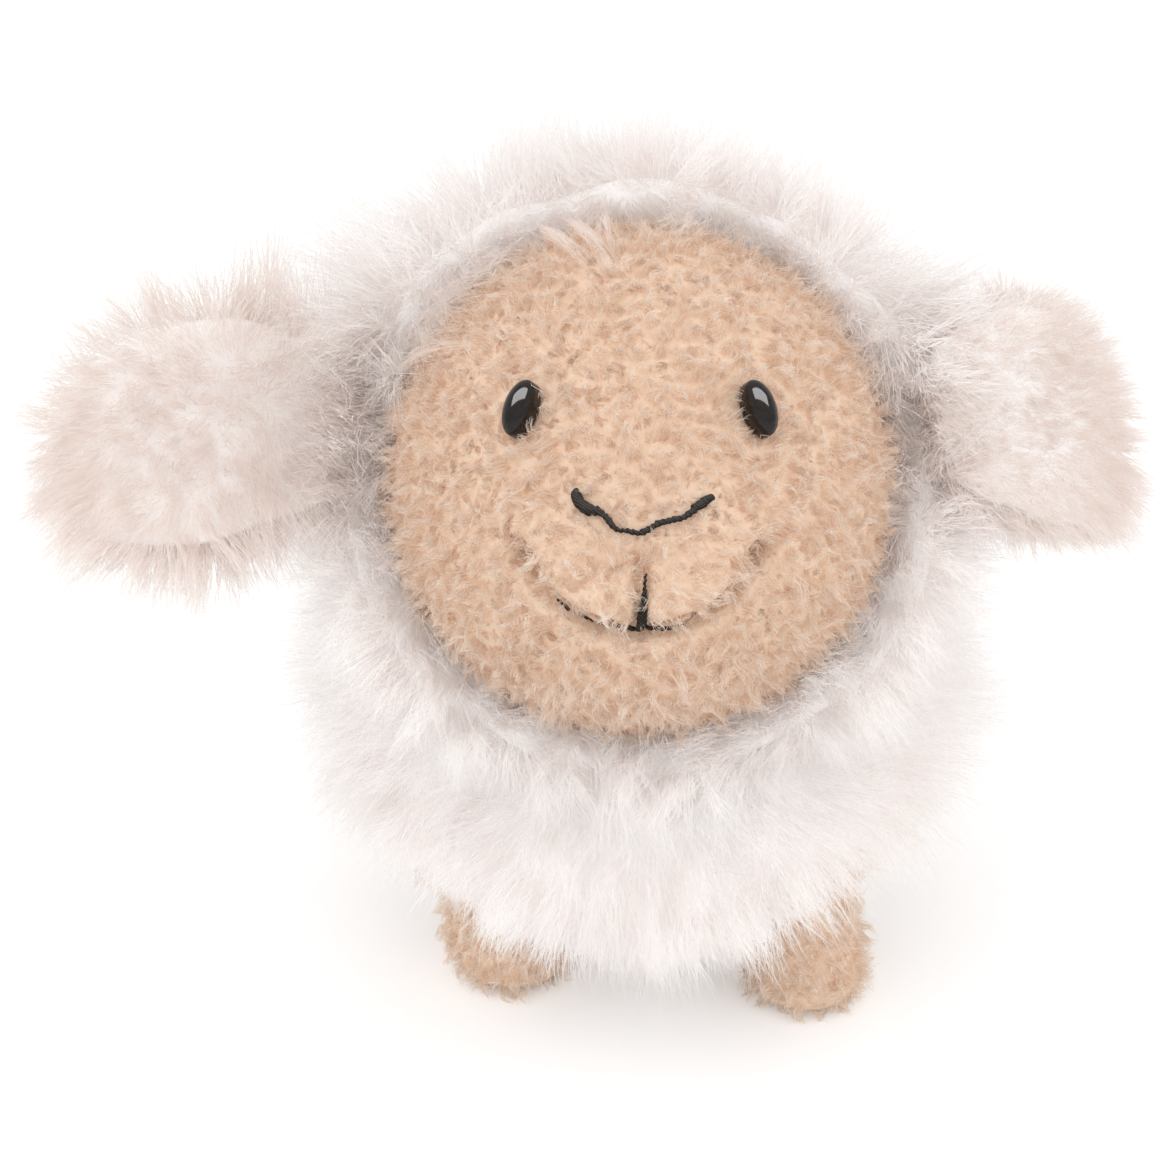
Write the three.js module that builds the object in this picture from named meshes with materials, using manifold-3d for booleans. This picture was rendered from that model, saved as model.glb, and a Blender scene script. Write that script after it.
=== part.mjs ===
// A plush sheep about 20 cm tall that stands on four short legs, in millimetres, +Z up.
// It faces -Y, so its own left side is +X. Each cover's solid is its backing with the pile on it.
import * as THREE from "three";
import { mergeVertices } from "three/addons/utils/BufferGeometryUtils.js";
import Module from "manifold-3d";

const wasm = await Module();
wasm.setup();

// Fabrics and fits
const gap = 0.3; // between pieces that lie against each other
const body_pile_wall = 13; // backing with the brushed long pile of the body
const hood_pile_wall = 15; // the same on the head, where the pile stands up
const short_pile_wall = 3; // backing with the curly short pile of face and legs
const pressed_wall = 2.5; // long pile pressed flat under the head
const overrun = 3; // how far a cutter runs past what it cuts
const weld = 0.001; // vertices closer than this are one

// Body
const body_half_width = 65;
const body_front_length = 74; // from the middle to the chest
const body_rear_length = 74; // from the middle to the rump
const body_half_height = 47;
const belly_clearance = 16; // floor to the belly's pile
const chest_fullness_share = 2; // power of the outline towards the chest, where 2 is an ellipse
const rump_fullness_share = 2.6; // the rump is blunter

// Head
const face_radius = 46.5;
const head_pitch = 8; // degrees that the muzzle looks up
const neck_lean = 33; // degrees that the neck leans forward
const head_seat_depth = 29; // how far the hood sinks into the body's pile
const seam_tilt = 22; // degrees that the hood's edge looks up, in the head's frame
const seam_offset = 4; // from the head's middle forward to the hood's edge
const neck_opening_radius = 16;
const neck_seam_width = 8;

// Forms of the face: where each swells, in degrees, and by how much
const muzzle_swell = 7;
const lip_swell = 2.2;
const chin_swell = 2.2;
const cheek_swell = 1.2;
const face_swells = [
  { height: muzzle_swell, azimuth: 0, elevation: -6, across: 30, up: 26 },
  { height: lip_swell, azimuth: -13, elevation: 0, across: 11, up: 9 },
  { height: lip_swell, azimuth: 13, elevation: 0, across: 11, up: 9 },
  { height: chin_swell, azimuth: 0, elevation: -24, across: 15, up: 11 },
  { height: cheek_swell, azimuth: -42, elevation: -8, across: 16, up: 18 },
  { height: cheek_swell, azimuth: 42, elevation: -8, across: 16, up: 18 },
];

// Smile: the seam under the lips, an arc open upwards, and the chin panel below it
const smile_radius = 25;
const smile_half_width = 20;
const smile_drop = 8.5; // from the head's middle down to the arc's lowest point
const chin_half_width = 24; // where the chin panel meets the neck
const chin_set_back = 1; // the chin lies this far behind the lips

// Embroidery
const stitch_radius = 0.9;
const stitch_lift = 0.6; // the thread's middle above the fabric
const nose_half_angle = 13; // degrees
const nose_low_angle = 10.3;
const nose_high_angle = 16;
const nose_bow_share = 1.3; // power of the line's rise from the middle
const philtrum_top_angle = 1;
const philtrum_low_angle = -6.5;
const mouth_half_width = 6.5;
const mouth_rise = 1; // the thread above the seam under the lips

// Eyes: a domed oval on a shank, held by a washer inside the face
const eye_half_width = 3.4;
const eye_half_height = 5.5;
const eye_dome_height = 3.4;
const eye_azimuth = 29.8; // degrees
const eye_elevation = 32.3;
const eye_lean = 4; // degrees that the top leans towards the nose
const shank_radius = 1.8;
const shank_end = 1.2; // shank past the washer
const washer_radius = 5.5;
const washer_thickness = 1.5;

// Ears: a leaf of two layers that hangs from a roll sewn to the hood
const ear_length = 48;
const ear_half_width = 22.5;
const ear_root_half_width = 17;
const ear_back_thickness = 5;
const ear_lining_thickness = 3;
const ear_lining_inset = 4; // long pile that stands past the lining all round
const ear_roll_radius = 4.5;
const ear_roll_end = 1; // how far the roll runs past the leaf's root
const ear_cup = 4; // how far the long edges bend forwards
const ear_curl = 5; // how far the tip bends back
const right_ear_rise = 9; // degrees that each ear's root lies above the head's middle
const left_ear_rise = 11;
const right_ear_hang = 11; // degrees that each leaf hangs from its root
const left_ear_hang = 6;
const left_ear_sweep = 42; // degrees that the left ear is brushed back; the right one stands straight out
const ear_seat_share = 0.8; // where in the hood's wall the roll lies
const ear_root_spread = 60; // degrees that the pile gives way on each side of the leaf
const ear_widest_share = 0.4; // where along the leaf it is widest
const ear_tip_share = 0.985; // the last ring before the tip's cap
const ear_tip_power_share = 7; // how blunt the tip is
const ear_swing_forward = 45; // degrees from straight out
const ear_swing_back = 55;

// Legs: a ball in the body, a shaft that tapers to the ankle, and a flat sole
const hip_ball_radius = 15;
const hip_inset = 10; // from the belly's surface up to the ball's middle
const leg_radius = 13.2;
const foot_length_share = 1.08;
const sole_thickness = 2;
const leg_swing = 20; // degrees each way
const leg_height_shares = [0, 0.12, 0.3, 0.55, 0.8];
const leg_girth_shares = [0.92, 1, 0.96, 0.87, 0.88];
const hip_ball_angles = [-30, 0, 30, 60, 82]; // degrees above the ball's equator
const front_hip_half_spread = 33;
const front_hip_reach = 16; // in front of the body's middle
const rear_hip_half_spread = 31;
const rear_hip_reach = 44; // behind the body's middle
const right_foot_toe_in = 7; // how far each front foot stands towards the middle
const left_foot_toe_in = -1.8;
const right_foot_step = -4; // how far each front foot stands in front of its hip
const left_foot_step = 4;

// Tail: a short soft cone that hangs from the rump
const tail_length = 30;
const tail_radius = 9;
const tail_wall = 4;
const tail_root_radius = 9; // a ball that turns in the body's pile
const tail_rise = 12; // from the body's middle up to its root
const tail_opening_radius = 2; // where the filling goes in
const tail_hang = 70; // degrees from hanging straight down
const tail_length_shares = [0.25, 0.5, 0.75, 0.92];
const tail_girth_shares = [0.72, 0.92, 1, 0.6];

// Facets: columns and rows of a round form, steps and sides of a lathe, rings and points of a leaf
const body_facets = [32, 18];
const inner_facets = [24, 14];
const face_facets = [40, 24];
const ball_facets = [14, 8];
const hood_sides = 30;
const hood_steps = 10;
const lip_steps = 5;
const seam_steps = 2;
const leg_sides = 12;
const round_sides = 14;
const eye_sides = 20;
const eye_steps = 4;
const tail_root_steps = 3;
const ear_rings = 9;
const ear_ring_points = 14;
const ear_notch_steps = 10;
const stitch_sides = 6;
const stitch_steps = 12;

// Materials
const cloth = { roughness: 0.95, metalness: 0 };
const long_pile = new THREE.MeshStandardMaterial({ color: "#eee5e1", ...cloth });
const short_pile = new THREE.MeshStandardMaterial({ color: "#dcb99f", ...cloth });
const ear_pile = new THREE.MeshStandardMaterial({ color: "#e8dcd6", ...cloth });
const filling = new THREE.MeshStandardMaterial({ color: "#f4f4f2", ...cloth });
const thread = new THREE.MeshStandardMaterial({ color: "#17130f", roughness: 0.8, metalness: 0 });
const eye_plastic = new THREE.MeshStandardMaterial({ color: "#120d0b", roughness: 0.08, metalness: 0 });
const washer_plastic = new THREE.MeshStandardMaterial({ color: "#e9e9e6", roughness: 0.5, metalness: 0 });

const axis_x = new THREE.Vector3(1, 0, 0);
const axis_y = new THREE.Vector3(0, 1, 0);
const axis_z = new THREE.Vector3(0, 0, 1);
const rad = THREE.MathUtils.degToRad;
const deg = THREE.MathUtils.radToDeg;

// Solids and meshes

// A closed geometry, placed by a matrix, as a solid that can be cut and joined
function solid(geometry, placing = new THREE.Matrix4()) {
  const bare = geometry.clone().applyMatrix4(placing);
  bare.deleteAttribute("normal");
  bare.deleteAttribute("uv");
  const welded = mergeVertices(bare, weld);
  return new wasm.Manifold(
    new wasm.Mesh({
      numProp: 3,
      vertProperties: welded.attributes.position.array,
      triVerts: new Uint32Array(welded.index.array),
    }),
  );
}

function piece(name, made, material) {
  const { vertProperties, triVerts } = made.getMesh();
  const geometry = new THREE.BufferGeometry();
  geometry.setAttribute("position", new THREE.BufferAttribute(vertProperties, 3));
  geometry.setIndex(new THREE.BufferAttribute(triVerts, 1));
  geometry.computeVertexNormals();
  const mesh = new THREE.Mesh(geometry, material);
  mesh.name = name;
  return mesh;
}

// A group at a place, turned about its own axes, with its matrix ready for cutters
function frame(name, position, turn = new THREE.Quaternion()) {
  const group = new THREE.Group();
  group.name = name;
  group.position.copy(position);
  group.quaternion.copy(turn);
  group.updateMatrix();
  return group;
}

function turnAbout(axis, degrees) {
  return new THREE.Quaternion().setFromAxisAngle(axis, rad(degrees));
}

function turned(quaternion) {
  return new THREE.Matrix4().makeRotationFromQuaternion(quaternion);
}

// Radius of a faceted ball's corners whose faces still lie a radius from its middle
function cornerRadius(radius, columns, rows) {
  return radius / (Math.cos(Math.PI / columns) * Math.cos(Math.PI / (2 * rows)));
}

function roundCutter(radius, [columns, rows]) {
  return new THREE.SphereGeometry(cornerRadius(radius, columns, rows), columns, rows);
}

// Forms

// A sphere whose poles lie on a turned Y, each vertex moved by a function of its direction
function roundForm([columns, rows], place, turn = new THREE.Quaternion()) {
  const geometry = new THREE.SphereGeometry(1, columns, rows);
  const points = geometry.attributes.position;
  for (let i = 0; i < points.count; i += 1) {
    const direction = new THREE.Vector3().fromBufferAttribute(points, i).normalize();
    const moved = place(direction.applyQuaternion(turn));
    points.setXYZ(i, moved.x, moved.y, moved.z);
  }
  return geometry;
}

// A closed skin over rings that have the same number of points, with a fan on each end
function loft(rings) {
  const count = rings[0].length;
  const points = rings.flat();
  const faces = [];
  const top = (rings.length - 1) * count;
  const middle = (ring) =>
    ring.reduce((sum, point) => sum.add(point), new THREE.Vector3()).divideScalar(count);
  const first = points.push(middle(rings[0])) - 1;
  const last = points.push(middle(rings[rings.length - 1])) - 1;
  for (let i = 0; i < count; i += 1) {
    const next = (i + 1) % count;
    for (let low = 0; low < top; low += count) {
      faces.push(low + i, low + next, low + next + count);
      faces.push(low + i, low + next + count, low + i + count);
    }
    faces.push(first, next, i);
    faces.push(last, top + i, top + next);
  }
  const geometry = new THREE.BufferGeometry().setFromPoints(points);
  geometry.setIndex(faces);
  return geometry;
}

// Points of an arc about a middle, from one angle to another
function arc(x, y, radius, from, to, steps) {
  return Array.from({ length: steps + 1 }, (_, i) => {
    const angle = from + ((to - from) * i) / steps;
    return new THREE.Vector2(x + radius * Math.cos(angle), y + radius * Math.sin(angle));
  });
}

// A profile revolved about Y, with its two ends put exactly on the axis
function revolved(points, sides) {
  points[0].x = 0;
  points[points.length - 1].x = 0;
  return new THREE.LatheGeometry(points, sides);
}

// A cylinder along a direction, between two distances from the origin, its radius to its faces
function plug(direction, radius, from, to, placing = new THREE.Matrix4()) {
  const corner = radius / Math.cos(Math.PI / round_sides);
  const cylinder = new THREE.CylinderGeometry(corner, corner, to - from, round_sides);
  cylinder.translate(0, (from + to) / 2, 0);
  const turn = turned(new THREE.Quaternion().setFromUnitVectors(axis_y, direction));
  return solid(cylinder, placing.clone().multiply(turn));
}

// Body: its girth falls off from the middle to the chest and to the rump

function bodyGirthShare(along) {
  const power = along < 0 ? chest_fullness_share : rump_fullness_share;
  return Math.sqrt(Math.max(0, 1 - Math.abs(along) ** power));
}

function bodyForm(inset, facets) {
  return roundForm(facets, (direction) => {
    const ring = Math.hypot(direction.x, direction.z);
    const girth = ring > 0 ? bodyGirthShare(direction.y) / ring : 0;
    const length = direction.y < 0 ? body_front_length : body_rear_length;
    return new THREE.Vector3(
      direction.x * girth * (body_half_width - inset),
      direction.y * (length - inset),
      direction.z * girth * (body_half_height - inset),
    );
  });
}

// Height of the belly's surface at a place, both measured from the body's middle
function bellyHeight(x, y) {
  const girth = bodyGirthShare(y / (y < 0 ? body_front_length : body_rear_length));
  return -body_half_height * Math.sqrt(Math.max(0, girth ** 2 - (x / body_half_width) ** 2));
}

const body = frame("body", new THREE.Vector3(0, 0, belly_clearance + body_half_height));

// Neck: its axis runs from the body's middle to the head's, which sinks into the body's pile

const hood_inner_radius = face_radius + gap;
const hood_radius = hood_inner_radius + hood_pile_wall;
const neck_axis = axis_z.clone().applyQuaternion(turnAbout(axis_x, neck_lean));
const body_reach = 1 / Math.hypot(neck_axis.y / body_front_length, neck_axis.z / body_half_height);
const neck_length = body_reach + hood_radius - head_seat_depth;
const neck = frame(
  "neck",
  neck_axis.clone().multiplyScalar(neck_length),
  turnAbout(axis_x, neck_lean),
);

// The skins' gathered edges, sewn together: a ring on the hood's surface about the neck's axis
const ring_inner_radius = hood_radius + gap;
const ring_outer_radius = ring_inner_radius + pressed_wall;
const ring_start = Math.asin(neck_opening_radius / hood_radius);
const ring_end = Math.asin((neck_opening_radius + neck_seam_width) / hood_radius);
const ring_reach = ring_outer_radius * Math.sin(ring_end);

function neckSeam() {
  const start = Math.PI / 2 - ring_start;
  const end = Math.PI / 2 - ring_end;
  const outside = arc(0, 0, ring_outer_radius, end, start, seam_steps);
  const inside = arc(0, 0, ring_inner_radius, start, end, seam_steps);
  const ring = new THREE.LatheGeometry([...outside, ...inside, outside[0].clone()], hood_sides);
  return solid(ring, turned(turnAbout(axis_x, -90)));
}

// Head: everything but the ears lies inside the hood's sphere, so it turns freely in its seat

const head = frame("head", new THREE.Vector3(), turnAbout(axis_x, -(neck_lean + head_pitch)));
const neck_down = axis_z.clone().negate().applyQuaternion(head.quaternion.clone().invert());
const seam_turn = turnAbout(axis_x, 180 - seam_tilt);

// A direction of the head's frame from its angles
function facing(azimuth, elevation) {
  return new THREE.Vector3(
    Math.sin(rad(azimuth)) * Math.cos(rad(elevation)),
    -Math.cos(rad(azimuth)) * Math.cos(rad(elevation)),
    Math.sin(rad(elevation)),
  );
}

function faceRadius(direction) {
  const azimuth = deg(Math.atan2(direction.x, -direction.y));
  const elevation = deg(Math.asin(THREE.MathUtils.clamp(direction.z, -1, 1)));
  const bell = (away, width) => Math.exp(-((away / width) ** 2));
  return face_swells.reduce((radius, swell) => {
    const across = bell(azimuth - swell.azimuth, swell.across);
    return radius + swell.height * across * bell(elevation - swell.elevation, swell.up);
  }, face_radius);
}

function faceForm(lift, facets) {
  const place = (direction) => direction.clone().multiplyScalar(faceRadius(direction) + lift);
  return solid(roundForm(facets, place, seam_turn));
}

// A block that fills the head behind a plane square to the seam's axis, or in front of it
function seamBlock(plane, side) {
  const size = 2 * (hood_radius + muzzle_swell + overrun);
  const block = new THREE.BoxGeometry(size, size, size);
  block.translate(0, plane + (side * size) / 2, 0);
  return solid(block, turned(seam_turn));
}

// The hood is revolved about the seam's axis, and its pile rolls over its edge in a lip
function hoodShell() {
  const lip_middle = (hood_inner_radius + hood_radius) / 2;
  const outside = arc(0, 0, hood_radius, -Math.PI / 2, Math.asin(seam_offset / hood_radius), hood_steps);
  const lip = arc(lip_middle, seam_offset, hood_pile_wall / 2, 0, Math.PI, lip_steps);
  const inside_start = Math.asin(seam_offset / hood_inner_radius);
  const inside_radius = cornerRadius(hood_inner_radius, hood_sides, hood_steps);
  const inside = arc(0, 0, inside_radius, inside_start, -Math.PI / 2, hood_steps);
  const points = [...outside, ...lip.slice(1, -1), ...inside];
  return solid(revolved(points, hood_sides), turned(seam_turn));
}

// The chin panel's outline, drawn from the front and carried back through the face
function chinPrism(clearance) {
  const radius = smile_radius - clearance;
  const half_angle = Math.asin((smile_half_width + clearance) / radius);
  const bottom = -(face_radius + overrun);
  const shape = new THREE.Shape();
  shape.moveTo(-(chin_half_width + clearance), bottom);
  shape.lineTo(chin_half_width + clearance, bottom);
  shape.absarc(
    0,
    smile_radius - smile_drop,
    radius,
    half_angle - Math.PI / 2,
    -half_angle - Math.PI / 2,
    true,
  );
  shape.closePath();
  const depth = face_radius + muzzle_swell + lip_swell + overrun;
  const prism = new THREE.ExtrudeGeometry(shape, { depth, bevelEnabled: false });
  return solid(prism.rotateX(Math.PI / 2));
}

// Eyes: in an eye's frame +Y runs out along the shank and +Z up the oval

const eyes = [
  { side: "right", sign: -1 },
  { side: "left", sign: 1 },
].map(({ side, sign }) => {
  const out = facing(sign * eye_azimuth, eye_elevation);
  const up = axis_z.clone().projectOnPlane(out).normalize();
  up.applyAxisAngle(out, rad(sign * eye_lean));
  const basis = new THREE.Matrix4().makeBasis(out.clone().cross(up), out, up);
  const surface = faceRadius(out);
  const washer_top = surface - short_pile_wall - gap;
  const shank_low = washer_top - washer_thickness - shank_end;
  const turn = new THREE.Quaternion().setFromRotationMatrix(basis);
  return { side, out, turn, surface, washer_top, shank_low };
});

function eyeSolid({ surface, shank_low }) {
  const dome = revolved([new THREE.Vector2(), ...arc(0, 0, 1, 0, Math.PI / 2, eye_steps)], eye_sides);
  dome.scale(eye_half_width, eye_dome_height, eye_half_height);
  dome.translate(0, surface + gap, 0);
  const shank_top = surface + eye_dome_height / 2;
  const shank = new THREE.CylinderGeometry(shank_radius, shank_radius, shank_top - shank_low, round_sides);
  shank.translate(0, (shank_top + shank_low) / 2, 0);
  return solid(dome).add(solid(shank));
}

function washerSolid({ washer_top }) {
  const middle = washer_top - washer_thickness / 2;
  const bore_radius = shank_radius + gap;
  const bore_length = washer_thickness + 2 * overrun;
  const disc = new THREE.CylinderGeometry(washer_radius, washer_radius, washer_thickness, eye_sides);
  const bore = new THREE.CylinderGeometry(bore_radius, bore_radius, bore_length, round_sides);
  return solid(disc.translate(0, middle, 0)).subtract(solid(bore.translate(0, middle, 0)));
}

// Stitches: a thread laid on the face along directions of the head's frame

const stitch_stops = Array.from({ length: stitch_sides + 1 }, (_, i) => (2 * i) / stitch_sides - 1);

function stitch(directions) {
  const points = directions.map((d) => d.clone().multiplyScalar(faceRadius(d) + stitch_lift));
  const section = new THREE.Shape().absarc(0, 0, stitch_radius, 0, 2 * Math.PI, false);
  const tube = new THREE.ExtrudeGeometry(section, {
    steps: stitch_steps,
    curveSegments: stitch_sides,
    extrudePath: new THREE.CatmullRomCurve3(points),
    bevelEnabled: false,
  });
  return solid(tube).subtract(faceForm(gap, face_facets));
}

const nose_line = stitch_stops.map((stop) => {
  const rise = (nose_high_angle - nose_low_angle) * Math.abs(stop) ** nose_bow_share;
  return facing(stop * nose_half_angle, nose_low_angle + rise);
});

const philtrum_line = stitch_stops.map((stop) =>
  facing(0, THREE.MathUtils.mapLinear(stop, -1, 1, philtrum_top_angle, philtrum_low_angle)),
);

// The smile's middle stretch, on the arc of the seam under the lips
const mouth_line = stitch_stops.map((stop) => {
  const x = stop * mouth_half_width;
  const z = smile_radius - smile_drop + mouth_rise - Math.sqrt(smile_radius ** 2 - x ** 2);
  const reach = face_radius + muzzle_swell;
  return new THREE.Vector3(x, -Math.sqrt(reach ** 2 - x ** 2 - z ** 2), z).normalize();
});

// Ears: in an ear's frame +X runs out of the head, Y along the roll and +Z out of the lining

function earHalfWidth(along) {
  const root_share = ear_root_half_width / ear_half_width;
  const phase = (along / ear_widest_share) * (Math.PI / 2);
  const taper_phase = ((along - ear_widest_share) / (1 - ear_widest_share)) * (Math.PI / 2);
  const belly = along < ear_widest_share ? Math.sin(phase) ** 2 : Math.cos(taper_phase / 2);
  const tip = Math.sqrt(1 - Math.min(along, ear_tip_share) ** ear_tip_power_share);
  return ear_half_width * (root_share + (1 - root_share) * belly) * tip;
}

// A leaf between two bulged faces, from a distance out of the roll to the tip, bent with the ear
function leaf({ start, inset, base, back, front, hang }) {
  const length = ear_length - inset;
  const slope = Math.tan(rad(hang));
  const rings = Array.from({ length: ear_rings + 1 }, (_, r) => {
    const out = start + (length * ear_tip_share - start) * (r / ear_rings);
    const half_width = earHalfWidth(out / length) * (1 - inset / ear_half_width);
    const bulge = half_width / ear_half_width;
    const curl = ear_curl * (out / ear_length) ** 2;
    return Array.from({ length: ear_ring_points }, (_, i) => {
      const angle = (2 * Math.PI * i) / ear_ring_points;
      const across = half_width * Math.cos(angle);
      const rise = Math.sin(angle) * bulge;
      const lift = base + rise * (rise > 0 ? front : back);
      const cup = ear_cup * (across / ear_half_width) ** 2;
      return new THREE.Vector3(out, across + out * slope, lift + cup - curl);
    });
  });
  return loft(rings);
}

function earRoll(grow) {
  const radius = ear_roll_radius + grow;
  const half_length = ear_root_half_width + ear_roll_end + grow;
  return new THREE.CylinderGeometry(radius, radius, 2 * half_length, round_sides);
}

// The wedge of pile that gives way to the leaf, from its foremost to its rearmost swing
function earNotch(ear, sweep) {
  const reach = Math.sqrt(hood_radius ** 2 - ear_seat_radius ** 2);
  const forward = rad(ear_swing_forward + sweep + ear_root_spread);
  const back = rad(ear_swing_back - sweep + ear_root_spread);
  const rim = arc(0, 0, reach, -back, forward, ear_notch_steps);
  const sector = new THREE.Shape([new THREE.Vector2(), ...rim]);
  const depth = 2 * (ear_half_width + overrun);
  const wedge = new THREE.ExtrudeGeometry(sector, { depth, bevelEnabled: false });
  return solid(wedge.translate(0, 0, -depth / 2).rotateX(Math.PI / 2), ear.matrix);
}

const ear_seat_radius = hood_inner_radius + hood_pile_wall * ear_seat_share;
const ears = [
  { side: "right", sign: -1, rise: right_ear_rise, hang: right_ear_hang, sweep: 0 },
  { side: "left", sign: 1, rise: left_ear_rise, hang: left_ear_hang, sweep: left_ear_sweep },
].map(({ side, sign, rise, hang, sweep }) => {
  const view = axis_y.clone().applyQuaternion(seam_turn);
  const root = axis_x.clone().multiplyScalar(sign).applyAxisAngle(view, rad(sign * rise));
  const roll = view.clone().cross(root);
  const out = root.clone().applyAxisAngle(roll, rad(sweep));
  const normal = out.clone().cross(roll);
  const turn = new THREE.Quaternion().setFromRotationMatrix(
    new THREE.Matrix4().makeBasis(out, roll, normal),
  );
  const ear = frame(`ear_${side}`, root.clone().multiplyScalar(ear_seat_radius), turn);
  const leaf_back = leaf({
    start: 0,
    inset: 0,
    base: -gap / 2,
    back: ear_back_thickness,
    front: 0,
    hang: -sign * hang,
  });
  const leaf_lining = leaf({
    start: ear_roll_radius + gap,
    inset: ear_lining_inset,
    base: gap / 2,
    back: 0,
    front: ear_lining_thickness,
    hang: -sign * hang,
  });
  ear.add(
    piece(`ear_${side}_back`, solid(leaf_back).add(solid(earRoll(0))), long_pile),
    piece(`ear_${side}_lining`, solid(leaf_lining), ear_pile),
  );
  const path = solid(earRoll(gap), ear.matrix).add(earNotch(ear, sweep));
  return { group: ear, path };
});

// Head pieces

function facePanel() {
  const back_edge = seamBlock(0, -1);
  const filled = faceForm(-short_pile_wall, inner_facets);
  let panel = faceForm(0, face_facets).subtract(filled).subtract(back_edge);
  panel = panel.subtract(chinPrism(gap));
  for (const { out, surface, washer_top, shank_low } of eyes) {
    panel = panel.subtract(plug(out, shank_radius + gap, shank_low, surface + overrun));
    panel = panel.subtract(plug(out, washer_radius + gap, shank_low, washer_top + gap));
  }
  return panel;
}

function chinPanel() {
  const filled = faceForm(-short_pile_wall, inner_facets);
  const shell = faceForm(-chin_set_back, face_facets).subtract(filled);
  return shell.subtract(seamBlock(0, -1)).intersect(chinPrism(0));
}

function headFilling() {
  const front = faceForm(-short_pile_wall - gap, inner_facets).intersect(seamBlock(-overrun, 1));
  const back_ball = new THREE.SphereGeometry(hood_inner_radius - gap, ...inner_facets);
  const back = solid(back_ball, turned(seam_turn)).subtract(seamBlock(-gap, 1));
  const neck_end = Math.sqrt((hood_radius - gap) ** 2 - (neck_opening_radius - gap) ** 2);
  let made = front.add(back).add(plug(neck_down, neck_opening_radius - gap, 0, neck_end));
  for (const { out, surface, shank_low } of eyes) {
    made = made.subtract(plug(out, washer_radius + gap, shank_low - gap, surface));
  }
  return made;
}

function hoodCover() {
  const opening = plug(neck_down, neck_opening_radius, hood_inner_radius - overrun, hood_radius + overrun);
  return ears.reduce((hood, ear) => hood.subtract(ear.path), hoodShell().subtract(opening));
}

head.add(
  piece("hood_cover", hoodCover(), long_pile),
  piece("face_panel", facePanel(), short_pile),
  piece("chin_panel", chinPanel(), short_pile),
  piece("head_stuffing", headFilling(), filling),
  piece("nose_stitch", stitch(nose_line), thread),
  piece("philtrum_stitch", stitch(philtrum_line), thread),
  piece("mouth_stitch", stitch(mouth_line), thread),
  ...ears.map((ear) => ear.group),
);
for (const eye of eyes) {
  const place = frame(`eye_${eye.side}_place`, new THREE.Vector3(), eye.turn);
  place.add(piece(`eye_${eye.side}`, eyeSolid(eye), eye_plastic));
  place.add(piece(`eye_${eye.side}_washer`, washerSolid(eye), washer_plastic));
  head.add(place);
}
neck.add(piece("neck_seam", neckSeam(), long_pile), head);

// Legs: level rings from the sole up over the hip's ball, on a line that leans with the leg

function legForm(hip_height, foot, grow) {
  const shaft = leg_height_shares.map((height_share, r) => ({
    height: hip_height * (height_share - 1),
    radius: leg_radius * leg_girth_shares[r] + grow,
  }));
  const top = hip_ball_angles.map((angle) => ({
    height: (hip_ball_radius + grow) * Math.sin(rad(angle)),
    radius: (hip_ball_radius + grow) * Math.cos(rad(angle)),
  }));
  const rings = [...shaft, ...top].map(({ height, radius }) => {
    const lean = Math.max(0, -height / hip_height);
    const length = 1 + (foot_length_share - 1) * lean;
    return Array.from({ length: leg_sides }, (_, i) => {
      const angle = (2 * Math.PI * i) / leg_sides;
      const across = radius * Math.cos(angle);
      const along = radius * length * Math.sin(angle);
      return new THREE.Vector3(foot.x * lean + across, foot.y * lean + along, height);
    });
  });
  return solid(loft(rings));
}

// Room in the body for a leg's swing: level rings that widen fore and aft with the depth
function swingRoom(hip_height, foot) {
  const lean = deg(Math.atan2(foot.y, hip_height));
  const steepest = rad(leg_swing + Math.abs(lean));
  const radius = (leg_radius + gap) / Math.cos(steepest) / Math.cos(Math.PI / leg_sides);
  const rings = [hip_height, 0].map((depth) =>
    Array.from({ length: leg_sides }, (_, i) => {
      const angle = (2 * Math.PI * (i + 0.5)) / leg_sides;
      const limit = leg_swing * Math.sign(Math.sin(angle));
      const x = (foot.x * depth) / hip_height + radius * Math.cos(angle);
      const y = depth * Math.tan(rad(lean + limit)) + radius * foot_length_share * Math.sin(angle);
      return new THREE.Vector3(x, y, -depth);
    }),
  );
  return loft(rings);
}

const legs = [
  {
    name: "leg_front_right",
    x: -front_hip_half_spread,
    y: -front_hip_reach,
    foot: new THREE.Vector2(right_foot_toe_in, -right_foot_step),
  },
  {
    name: "leg_front_left",
    x: front_hip_half_spread,
    y: -front_hip_reach,
    foot: new THREE.Vector2(-left_foot_toe_in, -left_foot_step),
  },
  { name: "leg_rear_right", x: -rear_hip_half_spread, y: rear_hip_reach, foot: new THREE.Vector2() },
  { name: "leg_rear_left", x: rear_hip_half_spread, y: rear_hip_reach, foot: new THREE.Vector2() },
].map(({ name, x, y, foot }) => {
  const hip = new THREE.Vector3(x, y, bellyHeight(x, y) + hip_inset);
  const group = frame(name, hip);
  const hip_height = body.position.z + hip.z;
  const form = (grow) => legForm(hip_height, foot, grow);
  const size = 2 * (leg_radius + hip_height);
  const below = (height) => {
    const block = new THREE.BoxGeometry(size, size, size);
    return solid(block.translate(foot.x, foot.y, height - hip_height - size / 2));
  };
  const sole_room = below(sole_thickness + gap);
  const cover = form(0).subtract(sole_room).subtract(form(-short_pile_wall));
  group.add(
    piece(`${name}_cover`, cover, short_pile),
    piece(`${name}_stuffing`, form(-short_pile_wall - gap).subtract(sole_room), filling),
    piece(`${name}_sole`, form(0).intersect(below(sole_thickness)), short_pile),
  );
  const socket = solid(roundCutter(hip_ball_radius + gap, ball_facets), group.matrix);
  return { group, path: socket.add(solid(swingRoom(hip_height, foot), group.matrix)) };
});

// Tail: revolved about Y, which its frame turns to hang from the rump

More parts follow.
